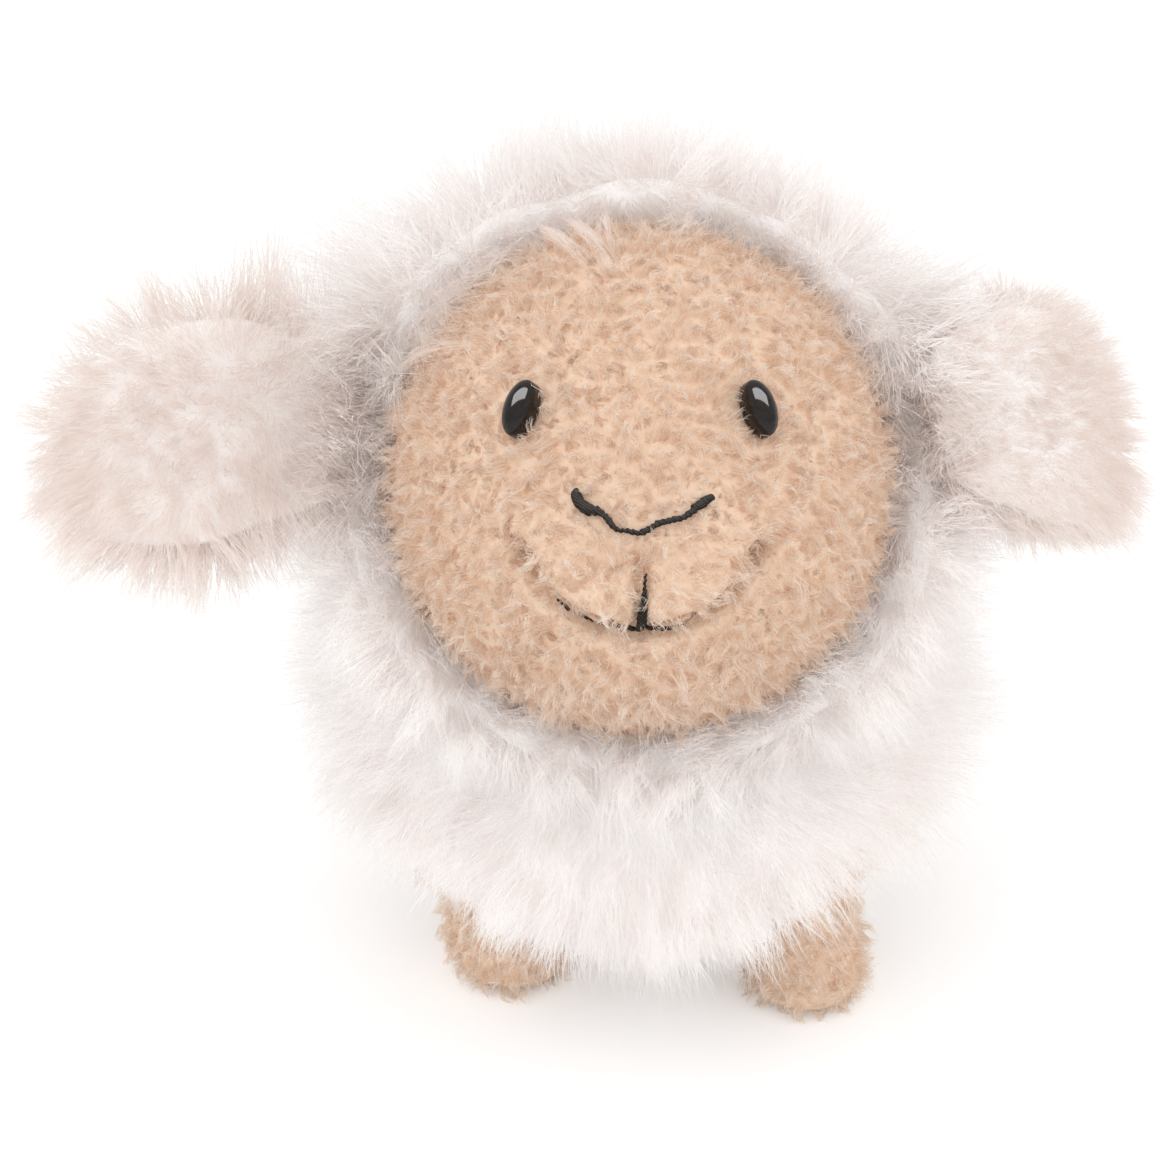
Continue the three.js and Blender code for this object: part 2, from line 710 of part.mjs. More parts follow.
function tailForm(inset) {
  const length = tail_length - inset;
  const root = arc(0, 0, tail_root_radius - inset, -Math.PI / 2, 0, tail_root_steps);
  const flank = tail_length_shares.map(
    (share, i) => new THREE.Vector2(tail_radius * tail_girth_shares[i] - inset, length * share),
  );
  return revolved([...root, ...flank, new THREE.Vector2(0, length)], leg_sides);
}

function rumpReach(height) {
  const girth = height / body_half_height;
  return body_rear_length * (1 - girth ** 2) ** (1 / rump_fullness_share);
}

const tail = frame(
  "tail",
  new THREE.Vector3(0, rumpReach(tail_rise) - gap, tail_rise),
  turnAbout(axis_x, tail_hang - 90),
);
const tail_opening = plug(axis_y, tail_opening_radius, -tail_root_radius - overrun, 0);
const tail_socket = solid(roundCutter(tail_root_radius + gap, ball_facets), tail.matrix);
tail.add(
  piece("tail_cover", solid(tailForm(0)).subtract(solid(tailForm(tail_wall))).subtract(tail_opening), long_pile),
  piece("tail_stuffing", solid(tailForm(tail_wall + gap)), filling),
);

// Body pieces: the cover dips under the head, and both give way to legs and tail

const limb_paths = legs.reduce((all, leg) => all.add(leg.path), tail_socket);

function headSeat(grow) {
  return solid(roundCutter(hood_radius + grow, body_facets), neck.matrix);
}

function bodyCover() {
  const neck_hole = plug(
    axis_z.clone().negate(),
    ring_reach + gap,
    ring_inner_radius * Math.cos(ring_end) - overrun,
    ring_outer_radius + overrun,
    neck.matrix,
  );
  const filled = solid(bodyForm(body_pile_wall, inner_facets)).subtract(headSeat(gap + pressed_wall));
  const cover = solid(bodyForm(0, body_facets)).subtract(headSeat(gap)).subtract(filled);
  return cover.subtract(neck_hole).subtract(limb_paths);
}

function bodyFilling() {
  const inner = solid(bodyForm(body_pile_wall + gap, inner_facets));
  return inner.subtract(headSeat(pressed_wall + 2 * gap)).subtract(limb_paths);
}

body.add(
  piece("body_cover", bodyCover(), long_pile),
  piece("body_stuffing", bodyFilling(), filling),
  neck,
  tail,
  ...legs.map((leg) => leg.group),
);

// The sheep stands on Z = 0 with the middle of its outline's box over the origin
const sheep = new THREE.Group();
sheep.add(body);
const middle = new THREE.Box3().setFromObject(sheep, true).getCenter(new THREE.Vector3());
body.position.x -= middle.x;
body.position.y -= middle.y;
body.updateMatrix();

export default sheep;
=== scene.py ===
import math
import random
from functools import partial

import bmesh
import bpy
from mathutils import Matrix, Quaternion, Vector, noise


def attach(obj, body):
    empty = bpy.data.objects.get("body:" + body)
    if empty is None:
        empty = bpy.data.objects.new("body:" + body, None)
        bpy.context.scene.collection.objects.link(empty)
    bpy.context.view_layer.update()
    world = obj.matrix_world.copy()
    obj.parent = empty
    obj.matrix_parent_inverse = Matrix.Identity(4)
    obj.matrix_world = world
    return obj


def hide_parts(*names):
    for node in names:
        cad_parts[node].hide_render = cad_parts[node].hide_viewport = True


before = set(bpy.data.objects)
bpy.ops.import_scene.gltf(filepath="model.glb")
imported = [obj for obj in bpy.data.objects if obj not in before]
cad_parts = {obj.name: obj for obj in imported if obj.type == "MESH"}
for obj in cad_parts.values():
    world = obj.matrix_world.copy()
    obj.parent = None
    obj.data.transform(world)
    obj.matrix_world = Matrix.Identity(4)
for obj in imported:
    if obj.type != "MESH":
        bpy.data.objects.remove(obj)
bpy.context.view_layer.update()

bl_info = {
    "name": "Plush sheep",
    "version": (1, 0, 0),
    "blender": (4, 5, 0),
    "location": "3D View > Sidebar > Plush sheep",
    "description": "Covers the sheep's solids with sewn skins, combed pile, plastic eyes and embroidery",
    "category": "Object",
}

# Sizes in the code are millimetres, and every mesh is made in metres.
MM = 0.001

# Where the solids are, in millimetres: the same figures as in the part's source.
BODY_MIDDLE = Vector((7.9405, 0.956, 63.0))
HEAD_MIDDLE = Vector((7.9405, -45.1245, 133.9576))
HEAD_Y = Vector((0.0, 0.9902681, -0.1391731))
HEAD_Z = Vector((0.0, 0.1391731, 0.9902681))
NECK_AXIS = Vector((0.0, -0.544639, 0.8386706))
SEAM_AXIS = Vector((0.0, -0.8660254, 0.5))
SEAM_UP = Vector((0.0, 0.5, 0.8660254))
RIGHT = Vector((1.0, 0.0, 0.0))

BODY_HALF_WIDTH = 65.0
BODY_HALF_LENGTH = 74.0
BODY_HALF_HEIGHT = 47.0
CHEST_POWER = 2.0
RUMP_POWER = 2.6

FACE_RADIUS = 46.5
# Height, azimuth, elevation, width and height across of each swell of the face, in millimetres and degrees
FACE_SWELLS = (
    (7.0, 0.0, -6.0, 30.0, 26.0),
    (2.2, -13.0, 0.0, 11.0, 9.0),
    (2.2, 13.0, 0.0, 11.0, 9.0),
    (2.2, 0.0, -24.0, 15.0, 11.0),
    (1.2, -42.0, -8.0, 16.0, 18.0),
    (1.2, 42.0, -8.0, 16.0, 18.0),
)
SMILE_RADIUS = 25.0
SMILE_MIDDLE = 16.5

EYE_AZIMUTH = 29.8
EYE_ELEVATION = 32.3
EYE_LEAN = 4.0
EYE_HALF_WIDTH = 2.55
EYE_HALF_HEIGHT = 4.9

EAR_LENGTH = 48.0
EAR_HALF_WIDTH = 22.5
EAR_ROOT_HALF_WIDTH = 17.0
EAR_WIDEST = 0.4
EARS = {
    "right": {
        "place": Vector((-50.1356, -40.5253, 141.9236)),
        "roll": Vector((-0.1564345, -0.4938442, -0.8553632)),
        "normal": Vector((0.0, -0.8660254, 0.5)),
        "hang": 11.0,
        "fullness": 1.0,
        "upper": 0.2,
        "lower": -0.3,
    },
    "left": {
        "place": Vector((65.6602, -39.5147, 143.674)),
        "roll": Vector((-0.190809, 0.4908136, 0.8501141)),
        "normal": Vector((0.6568368, -0.5797442, 0.4821432)),
        "hang": -6.0,
        "fullness": 0.62,
        "upper": -0.2,
        "lower": 0.1,
    },
}

TAIL_PLACE = Vector((7.9405, 72.762, 75.0))
TAIL_AXIS = Vector((0.0, 0.9396926, -0.3420201))
TAIL_UP = Vector((0.0, 0.3420201, 0.9396926))

# Hip, and how far the foot stands from under it
LEGS = {
    "front_right": (Vector((-25.0595, -15.0441, 33.8036)), (7.0, 4.0)),
    "front_left": (Vector((40.9405, -15.0441, 33.8036)), (1.8, -4.0)),
    "rear_right": (Vector((-23.0595, 44.9559, 39.3125)), (0.0, 0.0)),
    "rear_left": (Vector((38.9405, 44.9559, 39.3125)), (0.0, 0.0)),
}
LEG_RADIUS = 13.2
LEG_HEIGHT_SHARES = (0.0, 0.12, 0.3, 0.55, 0.8)
LEG_GIRTH_SHARES = (0.92, 1.0, 0.96, 0.87, 0.88)
HIP_BALL_RADIUS = 15.0

# Where the hood's pile is fuller round the face: degrees from the sheep's left over the crown, width and
# added length
HOOD_FULLNESS = (
    (32.0, 16.0, 8.0),
    (96.0, 32.0, 3.6),
    (142.0, 20.0, 14.0),
)

# Half the distance between the smile's two dimples, and their height, on the head
DIMPLE = (20.5, 2.5)

# The embroidery's lines on the head, across and up, with the thread's width share and depth under the pile
NOSE_LINE = (
    (-10.4, 13.6, 1.3), (-9.3, 12.6, 1.2), (-6.4, 12.0, 0.85), (-3.9, 9.6, 0.65),
    (0.2, 9.1, 0.65), (3.4, 10.6, 0.8), (7.5, 11.2, 0.8), (11.3, 13.5, 1.15),
)
PHILTRUM_LINE = ((0.9, 2.2, 0.45), (0.7, -0.8, 0.65), (0.4, -4.0, 0.9), (0.2, -6.6, 1.1))
MOUTH_LINES = (
    ((-14.2, -3.2, 0.4), (-12.6, -4.4, 0.5)),
    ((-10.2, -5.6, 0.5), (-6.5, -6.9, 0.5), (-1.6, -7.6, 0.7)),
    ((1.6, -7.6, 0.7), (4.2, -7.9, 0.6), (7.0, -7.4, 0.4)),
)

# Loose locks over the face: root and tip on the head, number of fibres and spread at the root
FRINGE = (
    ((-40.4, -15.0, 26.4), (-24.6, -27.6, 33.7), 34, 1.5),
    ((-39.9, -11.3, 28.8), (-25.7, -24.1, 35.4), 28, 1.6),
    ((-37.8, -9.9, 31.9), (-20.2, -20.1, 41.0), 36, 2.0),
    ((-34.4, -8.5, 36.0), (-15.5, -18.7, 43.8), 36, 2.0),
    ((-29.1, -8.3, 40.4), (-11.5, -17.4, 45.5), 32, 1.8),
    ((-16.2, -6.0, 47.2), (-6.3, -24.1, 43.4), 60, 1.4),
    ((-11.6, -5.8, 48.5), (-2.0, -26.5, 42.4), 60, 1.4),
    ((-6.5, -5.5, 49.5), (-4.0, -21.4, 45.0), 30, 1.2),
    ((8.5, -6.4, 49.1), (4.7, -18.4, 45.8), 30, 1.2),
    ((33.5, -4.0, 37.5), (27.5, -16.9, 38.2), 40, 1.5),
    ((41.0, -4.0, 28.0), (36.0, -17.0, 29.5), 40, 1.5),
)

# Short curly pile: small tight tufts, each leaning its own way
CURLY_PILE = {
    "Lock size": 4.5 * MM,
    "Lock pull": 0.1,
    "Lock lean": 0.6,
    "Tuft size": 2.1 * MM,
    "Tuft pull": 0.8,
    "Tuft lean": 1.7,
    "Whorl size": 8 * MM,
    "Whorl": 1.2,
    "Curl height": 0.75 * MM,
    "Curl turns": 1.2,
    "Fray": 0.12,
}

# Long combed pile on the body and the hood: loose locks
LONG_PILE = {"Lock pull": 0.2, "Lock lean": 0.35}

# Where along a fibre its cross rows are
LONG_STOPS = (0.0, 0.4, 0.75)
CURLY_STOPS = (0.0, 0.33, 0.63, 0.92)

MATH = "ShaderNodeMath"
VECTOR = "ShaderNodeVectorMath"
RAMP = "ShaderNodeValToRGB"
READ = "GeometryNodeInputNamedAttribute"
FLOAT = {"data_type": "FLOAT"}
FLOAT_VECTOR = {"data_type": "FLOAT_VECTOR"}


# Colours and nodes


def linear(hex_colour):
    """The linear colour of an sRGB hex value, with full alpha."""
    values = [int(hex_colour[i:i + 2], 16) / 255 for i in (1, 3, 5)]
    return (*[v / 12.92 if v <= 0.04045 else ((v + 0.055) / 1.055) ** 2.4 for v in values], 1.0)


def add_node(tree, kind, settings=None, links=None, out=0):
    """Adds one node with its settings and its links or values, and gives back one of its outputs.

    The settings may be only an operation, or hold a colour ramp's stops as (place, colour) pairs. The links
    may be given without names, in the order of the inputs."""
    node = tree.nodes.new(kind)
    if isinstance(settings, str):
        settings = {"operation": settings}
    if not isinstance(links, dict):
        links = dict(enumerate(links or ()))
    settings = dict(settings or {})
    stops = settings.pop("stops", ())
    for name, value in settings.items():
        setattr(node, name, value)
    if stops:
        elements = node.color_ramp.elements
        while len(elements) < len(stops):
            elements.new(0.5)
        for element, (place, colour) in zip(elements, stops):
            element.position = place
            element.color = colour
    for key, value in links.items():
        if isinstance(value, bpy.types.NodeSocket):
            tree.links.new(value, node.inputs[key])
        else:
            node.inputs[key].default_value = value
    return node.outputs[out]


def new_material(name):
    """An empty material with a Principled shader: its tree and the shader."""
    material = bpy.data.materials.new(name)
    material.use_nodes = True
    return material, material.node_tree, material.node_tree.nodes["Principled BSDF"]


def mixed(first, second, share):
    """A colour that share of the way from one to another."""
    return tuple(a + (b - a) * share for a, b in zip(first, second))


def deepened(colour, power):
    """The colour as it looks deep in the pile, where light has met many fibres."""
    return tuple(value ** power for value in colour)


def seen_directly(tree, path):
    """1 where the camera, a reflection or a clear surface sees it, else 0."""
    seen = path.outputs["Is Camera Ray"]
    for name in ("Is Glossy Ray", "Is Transmission Ray"):
        seen = add_node(tree, MATH, "MAXIMUM", (seen, path.outputs[name]))
    return seen


def pile_material(name, root, tip, depth, clearness):
    """Brushed polyester pile: matt clear fibres, painted shade deeper at the root, and each lock its own
    tone.
    """
    light = mixed(root, tip, 0.55)
    # Painted shade: the root colour darkened by depth, as it looks deep in the pile
    deep = deepened(root, depth)
    material, tree, shader = new_material(name)
    bake = add_node(tree, "ShaderNodeUVMap", {"uv_map": "OFBake"})
    tone = add_node(tree, "ShaderNodeSeparateXYZ", None, (bake,))
    along = tone.node.outputs[1]
    # Paler from root to tip: partly the fibres' own tint, partly painted shade deep in the pile
    fibre = add_node(tree, RAMP, {"stops": ((0.0, root), (0.45, light), (1.0, tip))}, (along,))
    # A copy of that ramp with painted shade at the root; locks of a higher tone take more of it
    shaded_fibre = add_node(tree, RAMP, {"stops": ((0.0, deep), (0.5, root), (1.0, light))}, (along,))
    share = add_node(tree, "ShaderNodeMapRange", None, (tone, 0.35, 0.95))
    colour = add_node(tree, "ShaderNodeMix", {"data_type": "RGBA"}, {0: share, 6: fibre, 7: shaded_fibre}, 2)
    tree.links.new(colour, shader.inputs["Base Color"])
    shader.inputs["Roughness"].default_value = 0.9
    shader.inputs["Specular IOR Level"].default_value = 0.15
    shader.inputs["Sheen Weight"].default_value = 0.15
    shader.inputs["Sheen Roughness"].default_value = 0.5
    through = add_node(tree, "ShaderNodeBsdfTranslucent", None, {"Color": colour})
    both = add_node(tree, "ShaderNodeMixShader", None, {0: clearness, 1: shader.outputs[0], 2: through})
    sink = tree.nodes["Material Output"]
    tree.links.new(both, sink.inputs["Surface"])
    return material


def grained_material(name, kind, grain, stops, gloss, bump=None, settings=None):
    """A solid whose grain tints it and, with a bump (height, strength), raises its face.

    The gloss is its roughness and the level of its mirror light."""
    material, tree, shader = new_material(name)
    place = add_node(tree, "ShaderNodeTexCoord", None, None, 3)
    tone = add_node(tree, kind, settings, {"Vector": place, **grain})
    tree.links.new(add_node(tree, RAMP, {"stops": stops}, (tone,)), shader.inputs["Base Color"])
    shader.inputs["Roughness"].default_value = gloss[0]
    shader.inputs["Specular IOR Level"].default_value = gloss[1]
    if bump:
        links = {"Height": tone, "Distance": bump[0], "Strength": bump[1]}
        tree.links.new(add_node(tree, "ShaderNodeBump", None, links), shader.inputs["Normal"])
    return material


def eye_material(name, black):
    """Moulded black acrylic: a deep gloss with the faint ripple of the mould and fine handling marks."""
    material, tree, shader = new_material(name)
    place = add_node(tree, "ShaderNodeTexCoord", None, None, 3)
    marks = add_node(tree, "ShaderNodeTexNoise", None, {"Vector": place, "Scale": 1400.0, "Detail": 3.0})
    stops = ((0.35, black), (0.75, mixed(black, linear("#3a2c22"), 0.35)))
    tree.links.new(add_node(tree, RAMP, {"stops": stops}, (marks,)), shader.inputs["Base Color"])
    rough = add_node(tree, "ShaderNodeMapRange", None, (marks, 0.3, 0.8, 0.05, 0.14))
    tree.links.new(rough, shader.inputs["Roughness"])
    ripple = add_node(tree, "ShaderNodeTexNoise", None, {"Vector": place, "Scale": 260.0, "Detail": 1.0})
    bump = add_node(tree, "ShaderNodeBump", None, {"Height": ripple, "Distance": 0.05 * MM, "Strength": 0.5})
    tree.links.new(bump, shader.inputs["Normal"])
    shader.inputs["Specular IOR Level"].default_value = 0.3
    return material


# Meshes


def new_object(name, mesh):
    """An object in the scene, at the origin."""
    obj = bpy.data.objects.new(name, mesh)
    bpy.context.scene.collection.objects.link(obj)
    return obj


def closed_grid(name, rows, columns, place):
    """A closed mesh from place(row share, column share) in millimetres. Its end rows are single points."""
    work = bmesh.new()
    rings = []
    for r in range(1, rows):
        ring = [work.verts.new(place(r / rows, c / columns) * MM) for c in range(columns)]
        rings.append(ring)
    first = work.verts.new(place(0.0, 0.0) * MM)
    last = work.verts.new(place(1.0, 0.0) * MM)
    for c in range(columns):
        after = (c + 1) % columns
        work.faces.new((first, rings[0][c], rings[0][after]))
        work.faces.new((last, rings[-1][after], rings[-1][c]))
        for lower, upper in zip(rings, rings[1:]):
            work.faces.new((lower[c], upper[c], upper[after], lower[after]))
    bmesh.ops.recalc_face_normals(work, faces=work.faces[:])
    if work.calc_volume(signed=True) < 0:
        bmesh.ops.reverse_faces(work, faces=work.faces[:])
    for face in work.faces:
        face.smooth = True
    mesh = bpy.data.meshes.new(name)
    work.to_mesh(mesh)
    work.free()
    return mesh


def set_growth(mesh, growth):
    """Stores on each point of a skin how its pile grows.

    growth(point, normal) gives the way and the amount that it leans, its length in millimetres, and its share
    of the density."""
    for name, kind in (("comb", "FLOAT_VECTOR"), ("reach", "FLOAT"), ("thick", "FLOAT")):
        mesh.attributes.new(name, kind, "POINT")
    comb = mesh.attributes["comb"]
    reach = mesh.attributes["reach"]
    thick = mesh.attributes["thick"]
    for i, vertex in enumerate(mesh.vertices):
        lean, length, share = growth(vertex.co / MM, vertex.normal)
        comb.data[i].vector = lean - vertex.normal * lean.dot(vertex.normal)
        reach.data[i].value = length * MM
        thick.data[i].value = share


def strand(name, stops):
    """One flat fibre of unit length with a pointed tip. Its place along and across is kept in attributes."""
    work = bmesh.new()
    along = work.verts.layers.float.new("along")
    side = work.verts.layers.float.new("side")
    pairs = []
    for stop in stops:
        pair = []
        for hand in (-1.0, 1.0):
            vertex = work.verts.new((0.05 * hand, 0.0, stop))
            vertex[along] = stop
            vertex[side] = hand
            pair.append(vertex)
        pairs.append(pair)
    tip = work.verts.new((0.0, 0.0, 1.0))
    tip[along] = 1.0
    tip[side] = 0.0
    for low, high in zip(pairs, pairs[1:]):
        work.faces.new((low[0], low[1], high[1], high[0]))
    work.faces.new((pairs[-1][0], pairs[-1][1], tip))
    mesh = bpy.data.meshes.new(name)
    work.to_mesh(mesh)
    work.free()
    return new_object(name, mesh)


def new_tree(name, sockets, result):
    """A Geometry Nodes tree with inputs (name, kind, value) and one result: the tree and what it is given."""
    tree = bpy.data.node_groups.new(name, "GeometryNodeTree")
    for title, kind, value in sockets:
        socket = tree.interface.new_socket(title, in_out="INPUT", socket_type="NodeSocket" + kind)
        if value is not None:
            socket.default_value = value
    tree.interface.new_socket(result, in_out="OUTPUT", socket_type="NodeSocketGeometry")
    return tree, tree.nodes.new("NodeGroupInput").outputs


def end_tree(tree, geometry, matter):
    """Shades the geometry smooth, gives it its material and makes it the tree's result."""
    geometry = add_node(tree, "GeometryNodeSetShadeSmooth", None, {"Geometry": geometry})
    geometry = add_node(tree, "GeometryNodeSetMaterial", None, {"Geometry": geometry, "Material": matter})
    tree.links.new(geometry, tree.nodes.new("NodeGroupOutput").inputs[0])
    return tree


def pile_tree():
    """Fibres grown from a skin: combed, drawn into locks, curled, frayed and tapered."""
    sockets = (
        ("Skin", "Geometry", None),
        ("Strand", "Object", None),
        ("Fibre", "Material", None),
        ("Seed", "Int", 1),
        ("Density", "Float", 1e6),
        ("Length share", "Float", 1.0),
        ("Length spread", "Float", 0.14),
        ("Width", "Float", 0.25 * MM),
        ("Lock size", "Float", 9 * MM),
        ("Lock pull", "Float", 0.3),
        ("Lock lean", "Float", 0.5),
        ("Tuft size", "Float", 2.6 * MM),
        ("Tuft pull", "Float", 0.6),
        ("Tuft lean", "Float", 0.5),
        ("Whorl size", "Float", 22 * MM),
        ("Whorl", "Float", 1.0),
        ("Curl height", "Float", 0.7 * MM),
        ("Curl turns", "Float", 1.3),
        ("Fray", "Float", 0.25),
        ("Floor", "Float", -1.0),
    )
    tree, given = new_tree("pile", sockets, "Pile")
    add = partial(add_node, tree)

    # Roots on the skin
    density = add(MATH, "MULTIPLY", (given["Density"], add(READ, FLOAT, {"Name": "thick"})))
    links = {"Mesh": given["Skin"], "Density": density, "Seed": given["Seed"]}
    roots = add("GeometryNodeDistributePointsOnFaces", None, links)
    links = {0: (-1.0, -1.0, -1.0), 1: (1.0, 1.0, 1.0), "Seed": given["Seed"]}
    stray = add("FunctionNodeRandomValue", FLOAT_VECTOR, links)
    points = roots
    for name, value in (
        ("root", add("GeometryNodeInputPosition")),
        ("out", roots.node.outputs["Normal"]),
        ("stray", stray),
    ):
        links = {"Geometry": points, "Name": name, "Value": value}
        points = add("GeometryNodeStoreNamedAttribute", {**FLOAT_VECTOR, "domain": "POINT"}, links)
    fibre = add("GeometryNodeObjectInfo", None, {"Object": given["Strand"]}, 4)
    placed = add("GeometryNodeInstanceOnPoints", None, {"Points": points, "Instance": fibre})
    grown = add("GeometryNodeRealizeInstances", None, {"Geometry": placed})

    # What each point of each fibre knows
    vectors = ("root", "out", "comb", "stray")
    root, out, comb, fray = [add(READ, FLOAT_VECTOR, {"Name": name}) for name in vectors]
    along, side, reach = [add(READ, FLOAT, {"Name": name}) for name in ("along", "side", "reach")]
    fray_x = add("ShaderNodeSeparateXYZ", None, (fray,))
    spread = add(MATH, "MULTIPLY_ADD", (fray_x, given["Length spread"], 1.0))
    length = add(MATH, "MULTIPLY", (reach, given["Length share"]))
    length = add(MATH, "MULTIPLY", (length, spread))

    # Locks and the small tufts in them draw the tips together, and each leans its own way
    middle = (0.5, 0.5, 0.5)
    drawn_in = (0.0, 0.0, 0.0)
    for kind, power in (("Lock", 1.5), ("Tuft", 1.1)):
        scale = add(MATH, "DIVIDE", (1.0, given[kind + " size"]))
        cells = add("ShaderNodeTexVoronoi", None, {"Vector": root, "Scale": scale}, "Position")
        towards = add(VECTOR, "SUBTRACT", (cells, root))
        height = add(VECTOR, "DOT_PRODUCT", (towards, out), 1)
        flat = add(VECTOR, "SUBTRACT", (towards, add(VECTOR, "SCALE", {0: out, 3: height})))
        drawn = add(MATH, "MULTIPLY", (add(MATH, "POWER", (along, power)), given[kind + " pull"]))
        drawn_in = add(VECTOR, "ADD", (drawn_in, add(VECTOR, "SCALE", {0: flat, 3: drawn})))
        cell_colour = cells.node.outputs["Color"]
        lean = add(VECTOR, "SUBTRACT", (cell_colour, middle))
        comb = add(VECTOR, "ADD", (comb, add(VECTOR, "SCALE", {0: lean, 3: given[kind + " lean"]})))

    # The pile's whorls
    scale = add(MATH, "DIVIDE", (1.0, given["Whorl size"]))
    whorl = add("ShaderNodeTexNoise", None, {"Vector": root, "Scale": scale, "Detail": 1.0}, "Color")
    whorl = add(VECTOR, "SUBTRACT", (whorl, middle))
    comb = add(VECTOR, "ADD", (comb, add(VECTOR, "SCALE", {0: whorl, 3: given["Whorl"]})))

    # The combed fibre: it stands up from its root and lies over towards its tip
    lean = add(MATH, "MINIMUM", (add(VECTOR, "LENGTH", (comb,), 1), 1.0))
    droop = add(MATH, "MULTIPLY", (add(MATH, "MULTIPLY", (along, along)), add(MATH, "MULTIPLY", (lean, 0.4))))
    rise = add(VECTOR, "SCALE", {0: out, 3: add(MATH, "SUBTRACT", (along, droop))})
    lay = add(VECTOR, "SCALE", {0: comb, 3: add(MATH, "POWER", (along, 1.3))})
    frayed = add(VECTOR, "SCALE", {0: fray, 3: add(MATH, "MULTIPLY", (along, given["Fray"]))})
    way = add(VECTOR, "ADD", (add(VECTOR, "ADD", (rise, lay)), frayed))
    place = add(VECTOR, "ADD", (root, add(VECTOR, "SCALE", {0: way, 3: length})))
    place = add(VECTOR, "ADD", (place, drawn_in))

    # The curl turns about the fibre, in step within a tuft
    part = add("ShaderNodeSeparateXYZ", None, (cell_colour,))
    phase = add(MATH, "ADD", (add(MATH, "MULTIPLY", (along, given["Curl turns"])), part))
    phase = add(MATH, "MULTIPLY_ADD", (fray_x, 0.08, phase))
    angle = add(MATH, "MULTIPLY", (phase, 2 * math.pi))
    height = add(MATH, "MULTIPLY", (given["Curl height"], along))
    first = add(VECTOR, "CROSS_PRODUCT", (add(VECTOR, "SUBTRACT", (cell_colour, middle)), way))
    first = add(VECTOR, "NORMALIZE", (first,))
    second = add(VECTOR, "NORMALIZE", (add(VECTOR, "CROSS_PRODUCT", (way, first)),))
    curl = []
    for direction, wave in ((first, "SINE"), (second, "COSINE")):
        swing = add(MATH, "MULTIPLY", (add(MATH, wave, (angle,)), height))
        curl.append(add(VECTOR, "SCALE", {0: direction, 3: swing}))
    place = add(VECTOR, "ADD", (place, add(VECTOR, "ADD", curl)))

    # The fibre's width, turned so that its face looks out of the pile
    faced = add(VECTOR, "ADD", (out, add(VECTOR, "SCALE", {0: fray, 3: 0.8})))
    across = add(VECTOR, "NORMALIZE", (add(VECTOR, "CROSS_PRODUCT", (way, faced)),))
    taper = add(MATH, "MULTIPLY", (add(MATH, "POWER", (along, 1.5)), 0.75))
    taper = add(MATH, "SUBTRACT", (1.0, taper))
    half = add(MATH, "MULTIPLY", (add(MATH, "MULTIPLY", (given["Width"], 0.5)), taper))
    half = add(MATH, "MULTIPLY", (side, half))
    place = add(VECTOR, "ADD", (place, add(VECTOR, "SCALE", {0: across, 3: half})))

    # Nothing goes under the floor
    parts = add("ShaderNodeSeparateXYZ", None, (place,))
    above = add(MATH, "MAXIMUM", (parts.node.outputs[2], given["Floor"]))
    place = add("ShaderNodeCombineXYZ", None, (parts, parts.node.outputs[1], above))
    grown = add("GeometryNodeSetPosition", None, {"Geometry": grown, "Position": place})

    # Tone across and place along go into the map that colours the fibre
    tone = add(MATH, "MULTIPLY_ADD", (fray_x, 0.18, 0.2))
    tone = add(MATH, "MULTIPLY_ADD", (part.node.outputs[1], 0.55, tone))
    tone = add(MATH, "MULTIPLY_ADD", (side, 0.01, tone))
    row = add(MATH, "MULTIPLY_ADD", (along, 0.96, 0.02))
    baked = add("ShaderNodeCombineXYZ", None, (tone, row))
    links = {"Geometry": grown, "Name": "OFBake", "Value": baked}
    grown = add("GeometryNodeStoreNamedAttribute", {"data_type": "FLOAT2", "domain": "CORNER"}, links)
    for name in ("root", "out", "stray", "comb", "reach", "thick", "along", "side"):
        grown = add("GeometryNodeRemoveAttribute", None, {"Geometry": grown, "Name": name})
    return end_tree(tree, grown, given["Fibre"])


def stitch_tree():
    """Slanted stitches that overlap along the edges of a path, as thick as the path's attribute says."""
    sockets = (
        ("Path", "Geometry", None),
        ("Stitch", "Object", None),
        ("Thread", "Material", None),
        ("Seed", "Int", 1),
        ("Spacing", "Float", 0.9 * MM),
    )
    tree, given = new_tree("stitches", sockets, "Stitches")
    add = partial(add_node, tree)
    curve = add("GeometryNodeMeshToCurve", None, {"Mesh": given["Path"]})
    links = {"Curve": curve, "Length": given["Spacing"]}
    curve = add("GeometryNodeResampleCurve", {"mode": "LENGTH"}, links)
    links = {"Vector": add("GeometryNodeInputTangent")}
    turn = add("FunctionNodeAlignRotationToVector", {"axis": "Z"}, links)
    links = {"Rotation": turn, "Vector": add(READ, FLOAT_VECTOR, {"Name": "out"})}
    turn = add("FunctionNodeAlignRotationToVector", {"axis": "X", "pivot_axis": "Z"}, links)
    uneven = add("FunctionNodeRandomValue", FLOAT, {2: 0.75, 3: 1.2, "Seed": given["Seed"]}, 1)
    size = add(MATH, "MULTIPLY", (uneven, add(READ, FLOAT, {"Name": "thick"})))
    stitch = add("GeometryNodeObjectInfo", None, {"Object": given["Stitch"]}, 4)
    links = {"Points": curve, "Instance": stitch, "Rotation": turn, "Scale": size}
    laid = add("GeometryNodeInstanceOnPoints", None, links)
    laid = add("GeometryNodeRealizeInstances", None, {"Geometry": laid})
    return end_tree(tree, laid, given["Thread"])


def stitch_object():
    """One stitch: a fat thread that leans across its path and dips in at both ends."""
    half_length = 1.25
    half_width = 0.62
    slant = 0.35

    def place(row, column):
        along = 2.0 * row - 1.0
        turn = 2 * math.pi * column
        radius = half_width * math.sqrt(max(0.0, 1 - along ** 4))
        arch = 0.25 - 0.6 * along * along
        return Vector((
            arch + radius * 0.8 * math.cos(turn),
            slant * along + radius * math.sin(turn),
            half_length * along,
        ))

    return new_object("stitch", closed_grid("stitch", 10, 10, place))


